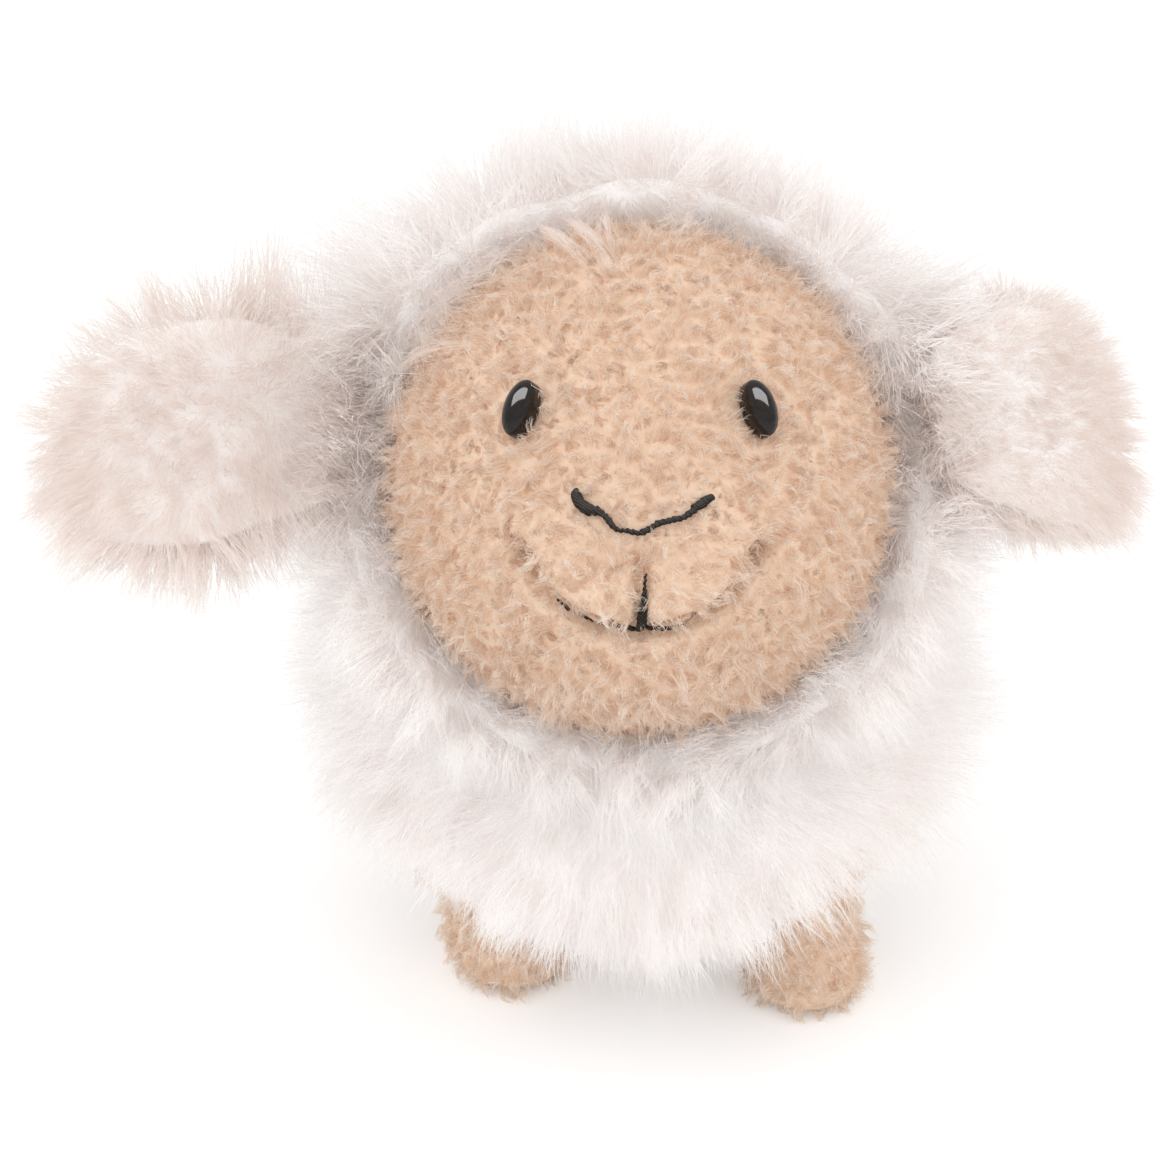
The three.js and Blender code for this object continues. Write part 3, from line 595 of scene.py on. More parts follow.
def path_mesh(name, lines):
    """Edges through lines of (point in millimetres, way out of the fabric, thickness)."""
    verts = []
    edges = []
    facts = []
    for line in lines:
        for i, (point, out, thick) in enumerate(line):
            if i:
                edges.append((len(verts) - 1, len(verts)))
            verts.append(point * MM)
            facts.append((out, thick))
    mesh = bpy.data.meshes.new(name)
    mesh.from_pydata(verts, edges, [])
    mesh.attributes.new("out", "FLOAT_VECTOR", "POINT")
    mesh.attributes.new("thick", "FLOAT", "POINT")
    for i, (way, share) in enumerate(facts):
        mesh.attributes["out"].data[i].vector = way
        mesh.attributes["thick"].data[i].value = share
    return mesh


def add_lock(work, path, fibres, spread, width, rng):
    """Adds a lock of fibres along a path of points in millimetres: loose at the root, close at the tip."""
    tones = work.loops.layers.uv["OFBake"]
    steps = len(path) - 1
    for _ in range(fibres):
        start = Vector([rng.uniform(-spread, spread) for _ in range(3)])
        end = Vector([rng.gauss(0.0, 0.75 * spread) for _ in range(3)])
        reach = rng.uniform(0.35, 1.0)
        tone = rng.uniform(0.05, 0.5)
        wave = rng.uniform(0.0, 2 * math.pi)
        rows = []
        for i in range(steps + 1):
            share = i / steps
            at = share * reach * steps
            low = min(int(at), steps - 1)
            point = path[low].lerp(path[low + 1], at - low)
            way = (path[low + 1] - path[low]).normalized()
            side = way.cross(point - HEAD_MIDDLE).normalized()
            point = point + start.lerp(end, share) + side * 0.5 * math.sin(5.0 * share + wave) * share
            half = side * width * 0.5 * (1.0 - 0.85 * share)
            rows.append((work.verts.new((point - half) * MM), work.verts.new((point + half) * MM)))
        for i, (low, high) in enumerate(zip(rows, rows[1:])):
            face = work.faces.new((low[0], low[1], high[1], high[0]))
            face.smooth = True
            for loop, across, along in zip(face.loops, (0, 1, 1, 0), (i, i, i + 1, i + 1)):
                loop[tones].uv = (tone + 0.02 * across, 0.02 + 0.96 * along / steps)


def run_tree(name, source, tree, values):
    """Runs a node tree on a copy of a mesh, and gives back the result as a plain object."""
    worker = new_object(name, source.copy())
    modifier = worker.modifiers.new(name, "NODES")
    modifier.node_group = tree
    for item in tree.interface.items_tree:
        if item.in_out == "INPUT" and item.name in values:
            modifier[item.identifier] = values[item.name]
    worker.update_tag()
    seen = worker.evaluated_get(bpy.context.evaluated_depsgraph_get())
    mesh = bpy.data.meshes.new_from_object(seen)
    worker.modifiers.remove(modifier)
    old = worker.data
    worker.data = mesh
    bpy.data.meshes.remove(old)
    mesh.name = name
    return worker


def finish_piece(obj, body, matter, nodes):
    """Gives a piece its material and body, and hides the solids that it stands for."""
    if matter:
        obj.data.materials.clear()
        obj.data.materials.append(matter)
    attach(obj, body)
    if nodes:
        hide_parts(*nodes)


# Forms


def body_girth(along):
    """The body's girth at a place along it, from -1 at the chest to 1 at the rump."""
    power = CHEST_POWER if along < 0 else RUMP_POWER
    return math.sqrt(max(0.0, 1 - abs(along) ** power))


def face_radius(direction):
    """Distance of the face's pile from the head's middle, for a direction in the room's frame."""
    azimuth = math.degrees(math.atan2(direction.x, -direction.dot(HEAD_Y)))
    elevation = math.degrees(math.asin(max(-1.0, min(1.0, direction.dot(HEAD_Z)))))
    radius = FACE_RADIUS
    for height, at, level, width, rise in FACE_SWELLS:
        radius += height * math.exp(-(((azimuth - at) / width) ** 2) - ((elevation - level) / rise) ** 2)
    return radius


def facing(azimuth, elevation):
    """The direction in the room's frame of an azimuth and elevation in the head's frame."""
    a = math.radians(azimuth)
    e = math.radians(elevation)
    return RIGHT * math.sin(a) * math.cos(e) - HEAD_Y * math.cos(a) * math.cos(e) + HEAD_Z * math.sin(e)


def head_place(point):
    """A point's place in the head's frame."""
    away = point - HEAD_MIDDLE
    return Vector((away.x, away.dot(HEAD_Y), away.dot(HEAD_Z)))


def thread_distance(place):
    """How far a place on the head is from the embroidery, across and up."""
    best = 9.0
    for line in (NOSE_LINE, PHILTRUM_LINE, *MOUTH_LINES):
        for (x0, z0, _), (x1, z1, _) in zip(line, line[1:]):
            dx = x1 - x0
            dz = z1 - z0
            share = ((place.x - x0) * dx + (place.z - z0) * dz) / (dx * dx + dz * dz)
            share = max(0.0, min(1.0, share))
            best = min(best, math.hypot(place.x - x0 - dx * share, place.z - z0 - dz * share))
    return best


def smooth(value, low, high):
    """Rises smoothly from 0 at low to 1 at high."""
    share = max(0.0, min(1.0, (value - low) / (high - low)))
    return share * share * (3 - 2 * share)


def lumpy(point, middle, height, size):
    """A point moved out or in by soft lumps of that height and size."""
    away = (point - middle).normalized()
    return point + away * height * (2 * noise.noise(point / size))


def ear_half_width(along):
    """Half the ear's width at a share of its length."""
    root = EAR_ROOT_HALF_WIDTH / EAR_HALF_WIDTH
    if along < 0:
        return EAR_ROOT_HALF_WIDTH * (1 + along * 2)
    if along < EAR_WIDEST:
        belly = math.sin(along / EAR_WIDEST * math.pi / 2) ** 2
    else:
        belly = math.cos((along - EAR_WIDEST) / (1 - EAR_WIDEST) * math.pi / 4)
    tip = math.sqrt(max(0.0, 1 - along ** 7))
    return EAR_HALF_WIDTH * (root + (1 - root) * belly) * tip


# Pieces


class PlushSizes(bpy.types.PropertyGroup):
    """Lengths, width and density of the pile."""

    body_pile: bpy.props.FloatProperty(
        name="Body pile", description="Length of the body's pile", default=15.0 * MM, unit="LENGTH",
    )
    hood_pile: bpy.props.FloatProperty(
        name="Hood pile", description="Length of the hood's pile", default=15.0 * MM, unit="LENGTH",
    )
    ear_pile: bpy.props.FloatProperty(
        name="Ear pile", description="Length of the ears' pile", default=14.0 * MM, unit="LENGTH",
    )
    face_pile: bpy.props.FloatProperty(
        name="Face pile", description="Length of the face's curly pile", default=2.5 * MM, unit="LENGTH",
    )
    leg_pile: bpy.props.FloatProperty(
        name="Leg pile", description="Length of the legs' curly pile", default=2.5 * MM, unit="LENGTH",
    )
    fibre_width: bpy.props.FloatProperty(
        name="Fibre width", description="Width of a drawn fibre, some real ones together",
        default=0.24 * MM, unit="LENGTH",
    )
    density: bpy.props.FloatProperty(
        name="Density", description="Share of the full number of fibres", default=0.93, subtype="FACTOR",
    )


class PlushColours(bpy.types.PropertyGroup):
    """Colours of the pile, the plastic and the thread."""

    cream: bpy.props.FloatVectorProperty(
        name="Cream", description="Roots of the long pile", size=4, subtype="COLOR",
        default=linear("#fbf6f4"),
    )
    # Darker than the cream: partly the lining's pinker tint, partly painted shade for the ears' stronger
    # light
    ear: bpy.props.FloatVectorProperty(
        name="Ear", description="Roots of the ears' pile", size=4, subtype="COLOR", default=linear("#f4ebe6"),
    )
    beige: bpy.props.FloatVectorProperty(
        name="Beige", description="Roots of the short curly pile", size=4, subtype="COLOR",
        default=linear("#eddac9"),
    )
    black: bpy.props.FloatVectorProperty(
        name="Black", description="Eyes and thread", size=4, subtype="COLOR", default=linear("#0b0908"),
    )


def sizes():
    return bpy.context.scene.plush_sizes


class PLUSH_OT_body(bpy.types.Operator):
    """Body skin and its long pile"""

    bl_idname = "plush.body"
    bl_label = "Body"

    def execute(self, context):
        inset = 9.0

        def place(row, column):
            along = -math.cos(math.pi * row)
            girth = body_girth(along)
            turn = 2 * math.pi * column
            point = BODY_MIDDLE + Vector((
                math.cos(turn) * girth * (BODY_HALF_WIDTH - inset),
                along * (BODY_HALF_LENGTH - inset),
                math.sin(turn) * girth * (BODY_HALF_HEIGHT - inset),
            ))
            return lumpy(point, BODY_MIDDLE, 1.5, 17.0)

        mesh = closed_grid("body_skin", 60, 96, place)
        length = sizes().body_pile / MM
        shorter_over_legs = {"front_right": 0.65, "front_left": 0.9, "rear_right": 0.5, "rear_left": 0.5}

        def growth(point, normal):
            away = point - BODY_MIDDLE
            low = smooth(-away.z, 4.0, 28.0)
            right_side = smooth(-away.x, 30.0, 52.0)
            left_side = smooth(away.x, 30.0, 52.0)
            between_legs = low * (1.0 - smooth(abs(away.x - 2.0), 12.0, 26.0))
            over_leg = 0.0
            for name, share in shorter_over_legs.items():
                hip = LEGS[name][0]
                outer = -14.0 if name.startswith("front") else 8.0
                near = 1.0 - smooth(math.hypot(point.x - hip.x, point.y - hip.y - outer), 14.0, 28.0)
                over_leg = max(over_leg, share * near * smooth(-away.z, 4.0, 18.0))
            under_head = smooth((point - HEAD_MIDDLE).length, 50.0, 58.0)
            lean = Vector((0.0, 0.0, -0.3 - 0.35 * between_legs + 0.3 * over_leg))
            share = 1.0 + (0.4 * right_side + 0.25 * left_side) * (1.0 - low) - 0.1 * between_legs
            return lean, length * share * (1.0 - over_leg), under_head

        set_growth(mesh, growth)
        skin = new_object("body_skin", mesh)
        layers = (
            ("body_pile_under", 0.95, 0.62, 1.2),
            ("body_pile_middle", 1.05, 0.85, 0.85),
            ("body_pile_over", 1.05, 1.0, 0.7),
        )
        values = {**LONG_PILE, "Floor": 1.0 * MM}
        grow_layers(mesh, layers, "body", "cream", values)
        finish_piece(skin, "body", material("backing"), ("body_cover", "body_stuffing"))
        return {"FINISHED"}


class PLUSH_OT_hood(bpy.types.Operator):
    """Hood skin, its long pile and the gathered neck"""

    bl_idname = "plush.hood"
    bl_label = "Hood"

    def execute(self, context):
        radius = 53.0
        lip = 3.8
        lip_height = 2.0
        lip_level = -0.4
        lip_middle = radius - lip

        def place(row, column):
            turn = 2 * math.pi * column
            ring = RIGHT * math.cos(turn) + SEAM_UP * math.sin(turn)
            if row < 0.8:
                angle = -math.pi / 2 * (1 - row / 0.8)
                height = radius * math.sin(angle)
                reach = radius * math.cos(angle)
            elif row < 0.95:
                angle = math.pi * (row - 0.8) / 0.15
                height = lip_level + lip_height * math.sin(angle)
                reach = lip_middle + lip * math.cos(angle)
            else:
                height = lip_level
                reach = (lip_middle - lip) * (1.0 - row) / 0.05
            point = HEAD_MIDDLE + SEAM_AXIS * height + ring * reach
            return lumpy(point, HEAD_MIDDLE, 1.3, 16.0) if row < 0.84 else lumpy(point, HEAD_MIDDLE, 0.8, 5.0)

        mesh = closed_grid("hood_skin", 60, 96, place)
        length = sizes().hood_pile / MM

        def growth(point, normal):
            away = point - HEAD_MIDDLE
            forward = away.dot(SEAM_AXIS)
            ring = away - SEAM_AXIS * forward
            around = math.degrees(math.atan2(ring.dot(SEAM_UP), ring.x))
            below = smooth(-ring.dot(SEAM_UP) / radius, 0.2, 0.9)
            edge = smooth(forward, -9.0, 0.0)
            inner = smooth(radius - ring.length, 0.0, lip) * smooth(forward, -5.0, -2.0)
            shown = 1.0 if ring.length > lip_middle - lip + 0.4 or forward < lip_level - 1.0 else 0.0
            over_body = smooth((point - BODY_MIDDLE).length, 34.0, 46.0) if forward < -6.0 else 1.0
            lean = Vector((0.0, 0.0, -0.15 - 0.4 * below)) + SEAM_AXIS * edge * 0.4 * (1.0 - inner)
            lean = lean + (SEAM_AXIS - ring.normalized() * 0.3) * inner
            lean = lean + noise.noise_vector(point / 4.0) * 1.4 * max(inner, 0.6 * edge)
            full = 0.0
            for middle, width, height in HOOD_FULLNESS:
                full += height * math.exp(-((around - middle) / width) ** 2)
            pile = length + full * smooth(forward, -45.0, -12.0)
            return lean, pile * (1.0 - 0.25 * inner), shown * over_body * (1 + edge + 0.6 * inner)

        set_growth(mesh, growth)
        skin = new_object("hood_skin", mesh)
        layers = (
            ("hood_pile_under", 1.15, 0.62, 1.2),
            ("hood_pile_middle", 1.25, 0.85, 0.85),
            ("hood_pile_over", 1.25, 1.0, 0.7),
        )
        grow_layers(mesh, layers, "head", "cream", LONG_PILE)
        finish_piece(skin, "head", material("backing"), ("hood_cover",))
        self.neck()
        return {"FINISHED"}

    def neck(self):
        """A short pleated tube where the hood is gathered onto the body."""
        across = RIGHT.cross(NECK_AXIS)

        def place(row, column):
            turn = 2 * math.pi * column
            ring = RIGHT * math.cos(turn) + across * math.sin(turn)
            height = -58.0 + 20.0 * row
            radius = 24.0 - 5.0 * math.sin(math.pi * row) + 0.7 * math.cos(18 * turn)
            if row == 0.0 or row == 1.0:
                radius = 0.0
            return HEAD_MIDDLE + NECK_AXIS * height + ring * radius

        gather = new_object("neck_gather", closed_grid("neck_gather", 14, 144, place))
        finish_piece(gather, "neck", material("backing"), ("neck_seam",))


class PLUSH_OT_face(bpy.types.Operator):
    """Face skin with its seams, and its curly short pile"""

    bl_idname = "plush.face"
    bl_label = "Face"

    def execute(self, context):
        reach = math.radians(98.0)

        def place(row, column):
            turn = 2 * math.pi * column
            ring = RIGHT * math.cos(turn) + SEAM_UP * math.sin(turn)
            if row > 0.96:
                share = (row - 0.96) / 0.04
                direction = SEAM_AXIS * math.cos(reach) + ring * math.sin(reach)
                return HEAD_MIDDLE + direction * (FACE_RADIUS - 2.0) * (1 - share)
            angle = reach * row / 0.96
            direction = SEAM_AXIS * math.cos(angle) + ring * math.sin(angle)
            radius = face_radius(direction)
            away = direction * radius
            return HEAD_MIDDLE + direction * (radius - 2.2 - self.crease(away))

        mesh = closed_grid("face_skin", 96, 240, place)
        length = sizes().face_pile / MM

        def growth(point, normal):
            place = head_place(point)
            from_nose = Vector((place.x, 0.0, place.z - 10.0))
            way = RIGHT * from_nose.x + HEAD_Z * from_nose.z
            way = way.normalized() * 0.35 if way.length > 0.01 else Vector((0.0, 0.0, 0.0))
            way = way + Vector((0.0, 0.0, -0.3))
            share = smooth(-(point - HEAD_MIDDLE).dot(SEAM_AXIS), 8.0, 4.0)
            from_thread = thread_distance(place) if place.y < 0 else 9.0
            in_crease = smooth(self.crease(point - HEAD_MIDDLE), 0.8, 3.5)
            reach = length * (0.5 + 0.5 * smooth(from_thread, 0.6, 2.6)) * (1.0 - 0.4 * in_crease)
            return way, reach, share * (from_thread > 0.4) * (1.0 - 0.4 * in_crease)

        set_growth(mesh, growth)
        skin = new_object("face_skin", mesh)
        layers = (
            ("face_pile_under", 1.1, 0.75, 1.2),
            ("face_pile_middle", 1.15, 0.95, 0.95),
            ("face_pile_over", 1.2, 1.1, 0.85),
        )
        grow_layers(mesh, layers, "head", "face", CURLY_PILE, CURLY_STOPS)
        nodes = ("face_panel", "chin_panel", "head_stuffing")
        finish_piece(skin, "head", material("face_backing"), nodes)
        return {"FINISHED"}

    def crease(self, away):
        """How deep the seams lie under the pile's surface."""
        x = away.x
        z = away.dot(HEAD_Z)
        if away.dot(HEAD_Y) > 0:
            return 0.0
        seam = math.hypot(x, z - SMILE_MIDDLE) - SMILE_RADIUS
        smile = 6.4 * math.exp(-((seam / 1.5) ** 2)) * smooth(SMILE_MIDDLE - z, 10.0, 14.5)
        pad = 1.4 * math.exp(-(((seam + 5.0) / 3.4) ** 2)) * smooth(SMILE_MIDDLE - z, 4.0, 12.0)
        down = smooth(8.0 - z, 0.0, 5.0) * smooth(z + SMILE_RADIUS - SMILE_MIDDLE + 1.0, 0.0, 2.0)
        philtrum = 2.6 * math.exp(-((x / 1.6) ** 2)) * down
        dimple = 2.6 * math.exp(-((abs(x) - DIMPLE[0]) ** 2 + (z - DIMPLE[1]) ** 2) / 8.0)
        return max(smile, philtrum) + dimple - pad


class PLUSH_OT_ears(bpy.types.Operator):
    """Ear skins, back and lining, and their pile"""

    bl_idname = "plush.ears"
    bl_label = "Ears"

    def execute(self, context):
        for side, ear in EARS.items():
            self.make(side, ear)
        return {"FINISHED"}

    def make(self, side, ear):
        inset = 2.0
        start = -7.0
        roll = ear["roll"]
        normal = ear["normal"]
        out = roll.cross(normal)
        slope = math.tan(math.radians(ear["hang"]))
        length = EAR_LENGTH - inset

        def surface(grow, base, front, back):
            def place(row, column):
                angle = 2 * math.pi * column
                reach = start + (length - grow - start) * math.sin(math.pi / 2 * row)
                half = ear_half_width(reach / (length - grow)) * (1 - (inset + grow) / EAR_HALF_WIDTH)
                if row in (0.0, 1.0):
                    half = 0.0
                across = half * math.cos(angle)
                rise = half / EAR_HALF_WIDTH * math.sin(angle)
                lift = base + rise * (front if rise > 0 else back)
                cup = 4.0 * (across / EAR_HALF_WIDTH) ** 2
                curl = 5.0 * (reach / EAR_LENGTH) ** 2
                point = ear["place"] + out * reach + roll * (across + reach * slope)
                return point + normal * (lift + cup - curl)
            return place

        pile = sizes().ear_pile / MM * ear["fullness"]
        down = Vector((0.0, 0.0, -0.35))
        middle = ear["place"] + out * EAR_LENGTH * 0.45 + roll * EAR_LENGTH * 0.45 * slope

        def growth_back(point, skin_normal):
            rim = 1.0 - smooth(abs(skin_normal.dot(normal)), 0.3, 0.95)
            from_root = smooth((point - ear["place"]).dot(out), 6.0, 32.0)
            thicker = 1.0 + 3.0 * rim + 2.0 * (1.0 - from_root)
            shown = smooth(-skin_normal.dot(normal), -0.97, -0.6) * thicker
            above = max(0.0, skin_normal.z) * rim
            under = max(0.0, -skin_normal.z) * rim
            lean = out * (0.5 - 0.35 * rim) + normal * 0.4 * rim + down * (1.0 - above)
            lean = lean + noise.noise_vector(point / 3.0) * 0.5 * rim
            share = 0.7 + 0.1 * rim + 0.45 * rim * (1.0 - from_root)
            share = share + ear["upper"] * above + ear["lower"] * under
            return lean, pile * share, shown

        def growth_lining(point, skin_normal):
            shown = smooth(skin_normal.dot(normal), -0.3, 0.2)
            away = point - middle
            from_middle = smooth(away.length, 4.0, 22.0)
            rim = 1.0 - smooth(skin_normal.dot(normal), 0.2, 0.8)
            lean = away.normalized() * (0.7 + 0.6 * rim) * from_middle + down * (1.0 - rim)
            lean = lean + noise.noise_vector(point / 3.0) * 0.4
            return lean, pile * (0.42 + 0.34 * from_middle), shown * (1.0 + 2.0 * rim)

        for part, shape, growth, density in (
            ("back", (0.0, -0.3, 0.2, 3.9), growth_back, 4.6),
            ("lining", (0.3, 0.1, 2.0, 0.2), growth_lining, 5.0),
        ):
            mesh = closed_grid(f"ear_{side}_{part}_skin", 40, 48, surface(*shape))
            set_growth(mesh, growth)
            skin = new_object(f"ear_{side}_{part}_skin", mesh)
            layers = ((f"ear_{side}_{part}_pile", density, 1.0, 0.75),)
            grow_layers(mesh, layers, f"ear_{side}", "ear", {"Lock pull": 0.15, "Lock lean": 0.3})
            finish_piece(skin, f"ear_{side}", material("backing"), (f"ear_{side}_{part}",))


class PLUSH_OT_tail(bpy.types.Operator):
    """Tail skin and its long pile"""

    bl_idname = "plush.tail"
    bl_label = "Tail"

    def execute(self, context):
        across = TAIL_AXIS.cross(TAIL_UP)

        def place(row, column):
            turn = 2 * math.pi * column
            ring = across * math.cos(turn) + TAIL_UP * math.sin(turn)
            reach = -6.0 + 30.0 * (1 - math.cos(math.pi * row)) / 2
            radius = 6.0 * math.sqrt(max(0.0, 1 - ((reach - 9.0) / 15.0) ** 2))
            return TAIL_PLACE + TAIL_AXIS * reach + ring * radius

        mesh = closed_grid("tail_skin", 24, 24, place)
        set_growth(mesh, lambda point, normal: (TAIL_AXIS * 0.6 + Vector((0.0, 0.0, -0.6)), 8.0, 1.0))
        skin = new_object("tail_skin", mesh)
        grow_layers(mesh, (("tail_pile", 4.0, 1.0, 0.9),), "tail", "cream", {})
        finish_piece(skin, "tail", material("backing"), ("tail_cover", "tail_stuffing"))
        return {"FINISHED"}


class PLUSH_OT_legs(bpy.types.Operator):
    """Leg skins with flat soles and their curly short pile"""

    bl_idname = "plush.legs"
    bl_label = "Legs"

    def execute(self, context):
        for name, (hip, foot) in LEGS.items():
            self.make(name, hip, foot)
        return {"FINISHED"}

    def make(self, name, hip, foot):
        inset = 1.4
        shaft = [(share - 1, LEG_RADIUS * girth) for share, girth in zip(LEG_HEIGHT_SHARES, LEG_GIRTH_SHARES)]

        def radius_at(level):
            for (low, thin), (high, wide) in zip(shaft, shaft[1:]):
                if level <= high:
                    return thin + (wide - thin) * smooth(level, low, high)
            return shaft[-1][1] + (HIP_BALL_RADIUS - shaft[-1][1]) * smooth(level, shaft[-1][0], 0.0)

        def place(row, column):
            turn = 2 * math.pi * column
            if row < 0.15:
                share = row / 0.15
                height = 1.0 - hip.z
                level = -1.0
                radius = (radius_at(level) - inset - 1.4) * share
            elif row < 0.8:
                share = (row - 0.15) / 0.65
                height = 1.0 - hip.z + (hip.z - 1.0) * share
                level = height / hip.z
                rounding = 1.4 * (1 - smooth(height + hip.z, 1.0, 4.0)) ** 2
                radius = radius_at(level) - inset - rounding
            else:
                angle = math.pi / 2 * (row - 0.8) / 0.2
                height = (HIP_BALL_RADIUS - inset) * math.sin(angle)
                radius = (HIP_BALL_RADIUS - inset) * math.cos(angle)
            lean = max(0.0, -height / hip.z)
            long = 1 + 0.08 * lean
            return hip + Vector((
                foot[0] * lean + radius * math.cos(turn),
                foot[1] * lean + radius * long * math.sin(turn),
                height,
            ))

        mesh = closed_grid(f"leg_{name}_skin", 48, 48, place)
        length = sizes().leg_pile / MM

        def growth(point, normal):
            above = smooth(hip.z + 6.0 - point.z, 0.0, 6.0)
            sole = 1.0 if point.z < 1.5 and normal.z < -0.5 else 0.0
            return Vector((0.0, 0.0, -0.7)), length * (1 - 0.75 * sole), above

        set_growth(mesh, growth)
        skin = new_object(f"leg_{name}_skin", mesh)
        values = {**CURLY_PILE, "Floor": 0.1 * MM}
        body = f"leg_{name}"
        layers = ((f"leg_{name}_pile", 3.4 if name.startswith("front") else 1.8, 1.0, 1.0),)
        grow_layers(mesh, layers, body, "leg", values, CURLY_STOPS)
        nodes = (f"leg_{name}_cover", f"leg_{name}_stuffing", f"leg_{name}_sole")
        finish_piece(skin, body, material("face_backing"), nodes)


class PLUSH_OT_fringe(bpy.types.Operator):
    """Loose locks of the hood's pile that fall over the face"""

    bl_idname = "plush.fringe"
    bl_label = "Fringe"

    def execute(self, context):
        rng = random.Random(41)
        work = bmesh.new()
        work.loops.layers.uv.new("OFBake")
        for start, end, fibres, spread in FRINGE:
            first = Vector(start)
            last = Vector(end)
            path = []
            for i in range(9):
                share = i / 8
                above_face = 50.6 + 1.6 * math.sin(math.pi * share) - 0.6 * share
                place = first.lerp(last, share).normalized() * above_face
                path.append(HEAD_MIDDLE + RIGHT * place.x + HEAD_Y * place.y + HEAD_Z * place.z)
            add_lock(work, path, fibres, spread, 0.1, rng)
        mesh = bpy.data.meshes.new("hood_fringe")
        work.to_mesh(mesh)
        work.free()
        finish_piece(new_object("hood_fringe", mesh), "head", material("cream"), ())
        return {"FINISHED"}


class PLUSH_OT_embroidery(bpy.types.Operator):
    """Stitched nose, philtrum and mouth, in thread"""

    bl_idname = "plush.embroidery"
    bl_label = "Embroidery"

    def execute(self, context):
        tree = stitch_tree()
        stitch = stitch_object()
        for seed, (name, lines, depth) in enumerate((
            ("nose", (NOSE_LINE,), 1.0),
            ("philtrum", (PHILTRUM_LINE,), 2.2),
            ("mouth", MOUTH_LINES, 2.8),
        )):
            path = path_mesh(f"{name}_path", [[self.on_face(knot, depth) for knot in line] for line in lines])
            given = {"Stitch": stitch, "Thread": material("thread"), "Seed": seed}
            sewn = run_tree(f"{name}_thread", path, tree, given)
            finish_piece(sewn, "head", None, (f"{name}_stitch",))
        bpy.data.objects.remove(stitch)
        return {"FINISHED"}

    def on_face(self, knot, depth):
        """The point of the face at a place across and up, so deep under the pile's surface."""
        x, z, thick = knot
        place = Vector((x, -math.sqrt(FACE_RADIUS ** 2 - x * x - z * z), z)).normalized()
        for _ in range(6):
            direction = (RIGHT * place.x + HEAD_Y * place.y + HEAD_Z * place.z).normalized()
            radius = face_radius(direction)
            place = Vector((x, -math.sqrt(radius ** 2 - x * x - z * z), z)).normalized()
        return HEAD_MIDDLE + direction * (radius - depth), direction, thick


class PLUSH_OT_eyes(bpy.types.Operator):
    """Glossy domed eyes"""

    bl_idname = "plush.eyes"
    bl_label = "Eyes"

    def execute(self, context):
        for side, sign in (("right", -1), ("left", 1)):
            out = facing(sign * EYE_AZIMUTH, EYE_ELEVATION)
            up = (HEAD_Z - out * HEAD_Z.dot(out)).normalized()
            up.rotate(Quaternion(out, math.radians(sign * EYE_LEAN)))
            across = out.cross(up)
            base = HEAD_MIDDLE + out * face_radius(out)

            def place(row, column):
                turn = 2 * math.pi * column
                if row < 0.3:
                    share = row / 0.3
                    height = -1.6
                elif row < 0.4:
                    share = 1.0
                    height = -1.6 + 2.0 * (row - 0.3) / 0.1
                else:
                    angle = math.pi / 2 * (row - 0.4) / 0.6
                    share = math.cos(angle)
                    height = 0.4 + 3.1 * math.sin(angle)
                ring = across * EYE_HALF_WIDTH * math.cos(turn) + up * EYE_HALF_HEIGHT * math.sin(turn)
                return base + ring * share + out * height

            mesh = closed_grid(f"eye_{side}_dome", 40, 64, place)
            eye = new_object(f"eye_{side}_dome", mesh)
            finish_piece(eye, "head", material("eye"), (f"eye_{side}",))
            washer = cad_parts[f"eye_{side}_washer"]
            washer.data.materials.clear()
            washer.data.materials.append(material("washer"))
        return {"FINISHED"}


